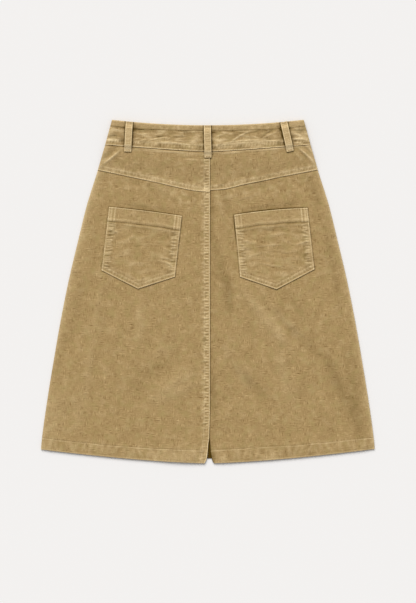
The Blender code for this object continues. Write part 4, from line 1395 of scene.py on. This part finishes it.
# %% Dress the belt loops
LOOP_SLOPE = (0.0045, 0.0130)       # where a loop comes down to the yoke, from its low end; painted light lifts this slope


def mark_loop(seed):
    def marks(grid):
        crown = STANDING if grid.face > 0 else FLUSH
        # Fading all over from handling; painted light on the slope, which faces away from the lamp; fading
        # and painted highlight at the low end.
        wear_and_highlight(grid, 0.24)
        wear_and_highlight(grid, 0.74, between(grid.low, LOOP_SLOPE[0], LOOP_SLOPE[1], 0.004))
        wear_and_highlight(grid, 0.22, between(grid.low, 0.0, LOOP_SLOPE[0], 0.002))
        pucker(grid, grid.low, grid.left, (0.0006, 0.0139), 0.0040, 0.0003, seed, slant=0.06,
               pale=0.38, dark=0.22, crown=crown)
        # Side folds painted pale for fading and highlight; painted shade in the grooves by the ends.
        for side in (grid.left, grid.right):
            turn_edge(grid, side, radius=0.0014, drop=0.0006 if grid.face > 0 else 0.0003)
            wear_and_highlight(grid, 0.45, hump(side - 0.0013, 0.0010))
        for end in (grid.low, grid.top):
            turn_edge(grid, end, radius=0.0012, drop=0.0005 if grid.face > 0 else 0.0003)
            press(grid, end - 0.0034, 0.0002, 0.0008, dark=0.06)
    return marks


loops = [
    dress(
        f"loop_back_{place}", f"belt_loop_back_{place}", columns=(TURNED, 14, TURNED),
        rows=(TURNED, 66, TURNED), cells=(4, 22), marks=mark_loop(91 + k),
    )
    for k, place in enumerate(LOOP_PLACES)
]
loops += [
    dress(
        f"loop_front_{wing}", f"belt_loop_front_{wing}", columns=(TURNED, 14, TURNED),
        rows=(TURNED, 50, TURNED), cells=(4, 20), marks=mark_loop(95 + k), face=-1,
    )
    for k, (wing, _) in enumerate(WINGS)
]
print("belt loops:", len(loops))

# %% [markdown]
# ## The button
# The closure's button is a plain turned tack button: a dished cap on a short stem. Turning a
# profile round an axis makes it, as a lathe would, with many more steps than its solid has.

# %% Turn the button
BUTTON_PROFILE = (          # share of the radius, share of the height, from the face up to the stem
    (0.00, 0.10), (0.40, 0.09), (0.56, 0.05), (0.66, 0.00), (0.80, 0.00),
    (0.93, 0.04), (0.99, 0.14), (1.00, 0.30), (1.00, 0.58), (0.96, 0.72),
    (0.88, 0.80), (0.46, 0.86), (0.41, 0.90), (0.40, 1.00), (0.00, 1.00),
)
BUTTON_STEPS = 56


def turn_profile(name, profile, centre, radius, low, height, steps):
    """A closed turned body on an upright axis."""
    points, faces = [(*centre, low + profile[0][1] * height)], []
    for out, up in profile[1:-1]:
        for k in range(steps):
            turn = 2 * math.pi * k / steps
            points.append((
                centre[0] + out * radius * math.cos(turn),
                centre[1] + out * radius * math.sin(turn),
                low + up * height,
            ))
    last = len(points)
    points.append((*centre, low + profile[-1][1] * height))
    for k in range(steps):
        after = (k + 1) % steps
        faces.append((0, 1 + after, 1 + k))
        for ring in range(len(profile) - 3):
            below, above = 1 + ring * steps, 1 + (ring + 1) * steps
            faces.append((below + k, below + after, above + after, above + k))
        faces.append((last - steps + k, last - steps + after, last))
    mesh = bpy.data.meshes.new(name)
    mesh.from_pydata(points, [], faces)
    mesh.materials.append(brass)
    mesh.shade_smooth()
    return link(name, mesh)


box_low, box_high = (np.array(corner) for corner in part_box("waist_button"))
button_size = box_high - box_low
button = turn_profile(
    "tack_button", BUTTON_PROFILE, centre=tuple((box_low + box_high)[:2] / 2),
    radius=button_size[0] / 2, low=box_low[2], height=button_size[2], steps=BUTTON_STEPS,
)
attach(button, "root")
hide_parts("waist_button")
print("button radius:", round(button_size[0] / 2, 4))

# %% [markdown]
# ## Stitches
# A seam's thread shows as a row of short, fat dashes. That is one small shape repeated thousands
# of times along paths, which is just what Geometry Nodes are for: a curve is cut into even steps
# and a tiny ellipsoid is put on each step, turned along the path. The tree ends by making the
# copies real, because the exporter keeps no instances.

# %% The stitch tree
STITCH_INPUTS = (
    ("Pitch", "NodeSocketFloat", 0.0032),
    ("Length", "NodeSocketFloat", 0.0026),
    ("Width", "NodeSocketFloat", 0.0005),
    ("Thickness", "NodeSocketFloat", 0.0005),
    ("Wander", "NodeSocketFloat", 0.06),
    ("Seed", "NodeSocketInt", 1),
    ("Thread", "NodeSocketMaterial", None),
)


def make_stitch_tree():
    tree = bpy.data.node_groups.new("stitches", "GeometryNodeTree")
    tree.interface.new_socket("Paths", in_out="INPUT", socket_type="NodeSocketGeometry")
    for name, kind, value in STITCH_INPUTS:
        socket = tree.interface.new_socket(name, in_out="INPUT", socket_type=kind)
        if value is not None:
            socket.default_value = value
    tree.interface.new_socket("Stitches", in_out="OUTPUT", socket_type="NodeSocketGeometry")
    given, result = node(tree, "NodeGroupInput").outputs, node(tree, "NodeGroupOutput")
    curve = node(tree, "GeometryNodeMeshToCurve")
    steps = node(tree, "GeometryNodeCurveToPoints", mode="LENGTH")
    wire(tree, given["Paths"], curve.inputs["Mesh"])
    wire(tree, curve.outputs["Curve"], steps.inputs["Curve"])
    wire(tree, given["Pitch"], steps.inputs["Length"])

    chance = node(tree, "FunctionNodeRandomValue", data_type="FLOAT_VECTOR")
    chance.inputs["Min"].default_value = (-1.0, -1.0, -0.3)
    chance.inputs["Max"].default_value = (1.0, 1.0, 0.3)
    wire(tree, given["Seed"], chance.inputs["Seed"])
    sway = node(tree, "ShaderNodeVectorMath", operation="SCALE")
    wire(tree, chance.outputs["Value"], sway.inputs[0])
    wire(tree, given["Wander"], sway.inputs["Scale"])
    way = node(tree, "ShaderNodeVectorMath", operation="ADD")
    wire(tree, steps.outputs["Tangent"], way.inputs[0])
    wire(tree, sway.outputs[0], way.inputs[1])
    turned = node(tree, "FunctionNodeAlignRotationToVector", axis="X")
    wire(tree, way.outputs[0], turned.inputs["Vector"])

    bead = node(tree, "GeometryNodeMeshIcoSphere")
    bead.inputs["Radius"].default_value = 0.5
    size = node(tree, "ShaderNodeCombineXYZ")
    for axis, name in zip("XYZ", ("Length", "Width", "Thickness")):
        wire(tree, given[name], size.inputs[axis])
    smooth = node(tree, "GeometryNodeSetShadeSmooth")
    wire(tree, bead.outputs["Mesh"], smooth.inputs["Geometry"])
    copies = node(tree, "GeometryNodeInstanceOnPoints")
    wire(tree, steps.outputs["Points"], copies.inputs["Points"])
    wire(tree, smooth.outputs["Geometry"], copies.inputs["Instance"])
    wire(tree, turned.outputs["Rotation"], copies.inputs["Rotation"])
    wire(tree, size.outputs[0], copies.inputs["Scale"])
    real = node(tree, "GeometryNodeRealizeInstances")
    wire(tree, copies.outputs["Instances"], real.inputs["Geometry"])
    finish = node(tree, "GeometryNodeSetMaterial")
    wire(tree, real.outputs["Geometry"], finish.inputs["Geometry"])
    wire(tree, given["Thread"], finish.inputs["Material"])
    wire(tree, finish.outputs["Geometry"], result.inputs["Stitches"])
    return tree


stitch_tree = make_stitch_tree()
print("stitch tree nodes:", len(stitch_tree.nodes))


# %% Paths on the cloth
THREAD_PROUD = 0.00010      # above the cloth; underneath that is inside it, so the skirt lies flat
ROW_STEP = 0.0012           # between the points of a path


def lift(points, tree, face):
    """Plan points raised onto a dressed piece; points that miss it are left out."""
    raised = []
    for x, y in points:
        hit = cast(tree, x, y, face)
        if hit:
            raised.append((x, y, hit.z + THREAD_PROUD))
    return raised


def row_along(edges, side, distance, trim=(0.002, 0.002), step=ROW_STEP):
    """A path inside an edge, at a set distance from it."""
    curve = getattr(edges, side)
    inwards = {"low": 1, "right": 1, "top": -1, "left": -1}[side]
    return inset_path(resample(curve, step), distance * inwards, trim)


def resample(points, step):
    """The same path with points at even steps."""
    points = np.asarray(points, float)
    along = np.concatenate([[0.0], np.cumsum(gap(points[:-1], points[1:]))])
    at = np.linspace(0, along[-1], max(int(along[-1] / step), 2) + 1)
    return np.stack([np.interp(at, along, points[:, k]) for k in (0, 1)], -1)


def inset_path(points, distance, trim=(0.0, 0.0)):
    """A path moved to its left by a distance, square to itself, and shortened at both ends."""
    legs = np.diff(points, axis=0)
    legs = legs / np.linalg.norm(legs, axis=1)[:, None]
    normals = np.stack([-legs[:, 1], legs[:, 0]], -1)
    before, after = np.vstack([normals[:1], normals]), np.vstack([normals, normals[-1:]])
    mitre = before + after
    mitre = mitre / (1 + np.sum(before * after, axis=1))[:, None]
    moved = points + distance * mitre
    along = np.concatenate([[0.0], np.cumsum(gap(moved[:-1], moved[1:]))])
    keep = (along >= trim[0]) & (along <= along[-1] - trim[1])
    return moved[keep]


print("paths follow an edge at a set distance")

# %% Sew a group of rows
BEAD_FACES = 20             # triangles of one stitch


def sew(name, rows, **settings):
    """One mesh of stitches along rows of (points, piece)."""
    vertices, joins = [], []
    trees = {}
    for points, piece in rows:
        if piece.name not in trees:
            trees[piece.name] = tree_of(piece.data)
        first = len(vertices)
        vertices += lift(points, trees[piece.name], piece_grids[piece.name].face)
        joins += [(k, k + 1) for k in range(first, len(vertices) - 1)]
    mesh = bpy.data.meshes.new(name)
    mesh.from_pydata(vertices, joins, [])
    piece = link(name, mesh)
    modifier = piece.modifiers.new("stitches", "NODES")
    modifier.node_group = stitch_tree
    values = {"Thread": thread, **settings}
    for item in stitch_tree.interface.items_tree:
        if item.in_out == "INPUT" and item.name in values:
            modifier[item.identifier] = values[item.name]
    evaluated = piece.evaluated_get(bpy.context.evaluated_depsgraph_get())
    plain = bpy.data.meshes.new_from_object(evaluated)
    piece.modifiers.remove(modifier)
    piece.data = plain
    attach(piece, "root")
    print(name, "stitches:", len(plain.polygons) // BEAD_FACES)
    return piece


print("rows are sewn", THREAD_PROUD * 1000, "mm proud of the cloth")

# %% Rows on the back
SEAM_ROWS = (0.0012, 0.0122)        # from the centre seam
YOKE_ROWS = (0.0014, 0.0106)        # from the yoke seam
BAND_ROW = 0.0017                   # from the low edge of the waistband

rows = []
for piece, trim in ((back_panels[0], (0.050, 0.001)), (yokes[0], (0.001, 0.012))):
    edges = piece_grids[piece.name].edges
    for distance in SEAM_ROWS:
        rows.append((row_along(edges, "right", distance, trim), piece))
for piece in yokes:
    edges = piece_grids[piece.name].edges
    for distance in YOKE_ROWS:
        rows.append((row_along(edges, "low", distance), piece))
for piece in back_panels:
    row = row_along(piece_grids[piece.name].edges, "low", HEM)
    row[:, 1] += hem_depth(row[:, 0]) - HEM
    rows.append((row, piece))
edges = piece_grids["back_waistband"].edges
row = row_along(edges, "top", TOP_FOLD)
row[:, 1] -= top_fold(row[:, 0]) - TOP_FOLD
rows.append((row, waistband))
rows.append((row_along(edges, "low", BAND_ROW), waistband))
sew("stitching_back", rows, Seed=3)

# %% Rows on the pockets and loops
POCKET_ROWS = (0.0014, 0.0110)      # from the sides and the foot
POCKET_TRIM = (0.0015, 0.0015)      # left free at both ends
MOUTH_ROW_BACK = 0.0012             # from the fold's inner edge
LOOP_ROW = 0.0026                   # from each side of a loop, and from its ends
LOOP_TRIM = (0.001, 0.001)

rows = []
for (wing, _), piece in zip(WINGS, pockets):
    edges = piece_grids[piece.name].edges
    corner, low = edges.corner, edges.low
    tip = low[int(np.argmin(low[:, 1]))]
    legs = [resample(leg, ROW_STEP) for leg in (
        (corner["d"], corner["a"]), (corner["a"], tip), (tip, corner["b"]), (corner["b"], corner["c"])
    )]
    around = np.vstack([leg[:-1] for leg in legs] + [legs[-1][-1:]])
    for distance in POCKET_ROWS:
        rows.append((inset_path(around, distance, POCKET_TRIM), piece))
    rows.append((row_along(edges, "top", MOUTH[wing] - MOUTH_ROW_BACK), piece))
sew("stitching_pockets", rows, Seed=5)
rows = []
for piece in loops:
    edges = piece_grids[piece.name].edges
    rows += [(row_along(edges, side, LOOP_ROW, LOOP_TRIM), piece) for side in ("left", "right")]
sew("stitching_loops", rows, Seed=7, Pitch=0.0028, Length=0.0023)

# %% [markdown]
# A bar tack is a dense run of short stitches that lie across it. One holds each end of a belt
# loop, each end of a pocket's mouth, where a hand pulls, and the top of the slit. The same tree
# makes it: only its steps are closer and each stitch is wider than it is long.

# %% Bar tacks
TACK_STEP = 0.0006
TACK_TRIM = (0.0022, 0.0022)
POCKET_TACK = (0.0042, 0.0030)      # from a pocket's upper corner, along the mouth and down the side
POCKET_TACK_HALF = 0.0024           # half its length
SLIT_TACK = 0.088                   # share of the way up the seam
SLIT_TACK_SHIFT = (0.0040, 0.0)     # how far left of the seam it lies
SLIT_TACK_HALF = 0.0030


def tack_at(centre, way, half):
    """A short straight path through a plan point."""
    way = np.array(way) / np.linalg.norm(way)
    return resample([np.array(centre) - half * way, np.array(centre) + half * way], TACK_STEP)


tacks = []
for piece in pockets:
    corner = piece_grids[piece.name].edges.corner
    for end, other in (("d", "c"), ("c", "d")):
        way = corner[other] - corner[end]
        down = corner["a" if end == "d" else "b"] - corner[end]
        centre = corner[end] + POCKET_TACK[0] * way / np.linalg.norm(way)
        centre = centre + POCKET_TACK[1] * down / np.linalg.norm(down)
        tacks.append((tack_at(centre, way, POCKET_TACK_HALF), piece))
for piece in loops:
    edges = piece_grids[piece.name].edges
    for side in ("low", "top"):
        path = row_along(edges, side, LOOP_ROW, TACK_TRIM, TACK_STEP)
        tacks.append((path, piece))
slit_top = piece_grids["back_panel_left"].edges.right
slit_tack = tack_at(on(slit_top, SLIT_TACK) - np.array(SLIT_TACK_SHIFT), (1.0, 0.0), SLIT_TACK_HALF)
tacks.append((slit_tack, back_panels[0]))
sew("bar_tacks", tacks, Seed=11, Pitch=0.0007, Length=0.0006, Width=0.0019, Thickness=0.0006,
    Wander=0.02)

# %% Rows on the front
FLY_WIDTH = 0.034           # the fly's stitched J, from the centre front
FLY_LENGTH = 0.165          # and down from the waist seam
FLY_BEND = 0.030            # radius of its lower end
FLY_BEND_POINTS = 12
FLY_START = 0.001           # below the waist seam
FRONT_SEAM_ROWS = (0.0016, 0.0076)
FRONT_BAND_ROW = 0.0018

rows = []
for piece in front:
    edges = piece_grids[piece.name].edges
    if piece.name == "front_panel_left":
        rows += [(row_along(edges, "right", distance), piece) for distance in FRONT_SEAM_ROWS]
    if piece.name == "front_panel_right":
        top_x, top_y = edges.corner["d"]
        turn = np.linspace(0, math.pi / 2, FLY_BEND_POINTS)
        bend = np.stack([
            top_x + FLY_WIDTH - FLY_BEND * (1 - np.cos(turn)),
            top_y - FLY_LENGTH - FLY_BEND * np.sin(turn),
        ], -1)
        start = [(top_x + FLY_WIDTH, top_y - FLY_START)]
        rows.append((resample(np.vstack([start, bend]), ROW_STEP), piece))
    if piece.name.startswith("front_panel"):
        rows.append((row_along(edges, "low", HEM), piece))
    else:
        rows.append((row_along(edges, "top", TOP_FOLD), piece))
        rows.append((row_along(edges, "low", FRONT_BAND_ROW), piece))
sew("stitching_front", rows, Seed=9)

# %% [markdown]
# ## The cut of each piece
# The cloth of every piece lies nearly flat, so the cut of what shows is the outline of the piece
# itself, measured between its edges. A cutter adds a turn-in to each edge for its seam or hem,
# and those give the whole cut, which is printed beside it.

# %% State each sheet
TURN_INS = {                # at both sides, the low edge and the top edge
    "panel": (0.009, 0.0300, 0.008),
    "yoke": (0.009, 0.0110, 0.008),
    "front_waistband": (0.008, 0.0080, 0.008),
    "back_waistband": (0.008, 0.0080, 0.008),
    "pocket": (0.008, 0.0080, 0.0268),
    "loop": (0.008, 0.0, 0.0),
}


def enclosed(outline):
    """Area inside a closed outline."""
    x, y = outline[:, 0], outline[:, 1]
    return abs(np.sum(x * np.roll(y, -1) - y * np.roll(x, -1))) / 2


def state_sheet(piece):
    sides, low, top = next(value for kind, value in TURN_INS.items() if kind in piece.name)
    outline = outline_of(piece_grids[piece.name].edges)
    width, length = (float(size) for size in outline.max(0) - outline.min(0))
    shows, whole = (width, length), (width + 2 * sides, length + low + top)
    cuts.append((piece.name, [round(1000 * size) for size in shows + whole], round(enclosed(outline), 4)))


cuts = []
cloth_pieces = front + back_panels + yokes + [waistband] + pockets + loops
for piece in cloth_pieces:
    state_sheet(piece)
for name, (width, length, whole_width, whole_length), area in cuts:
    print(f"{name}: {width} x {length} mm shows, {area} m2; cut {whole_width} x {whole_length} mm")
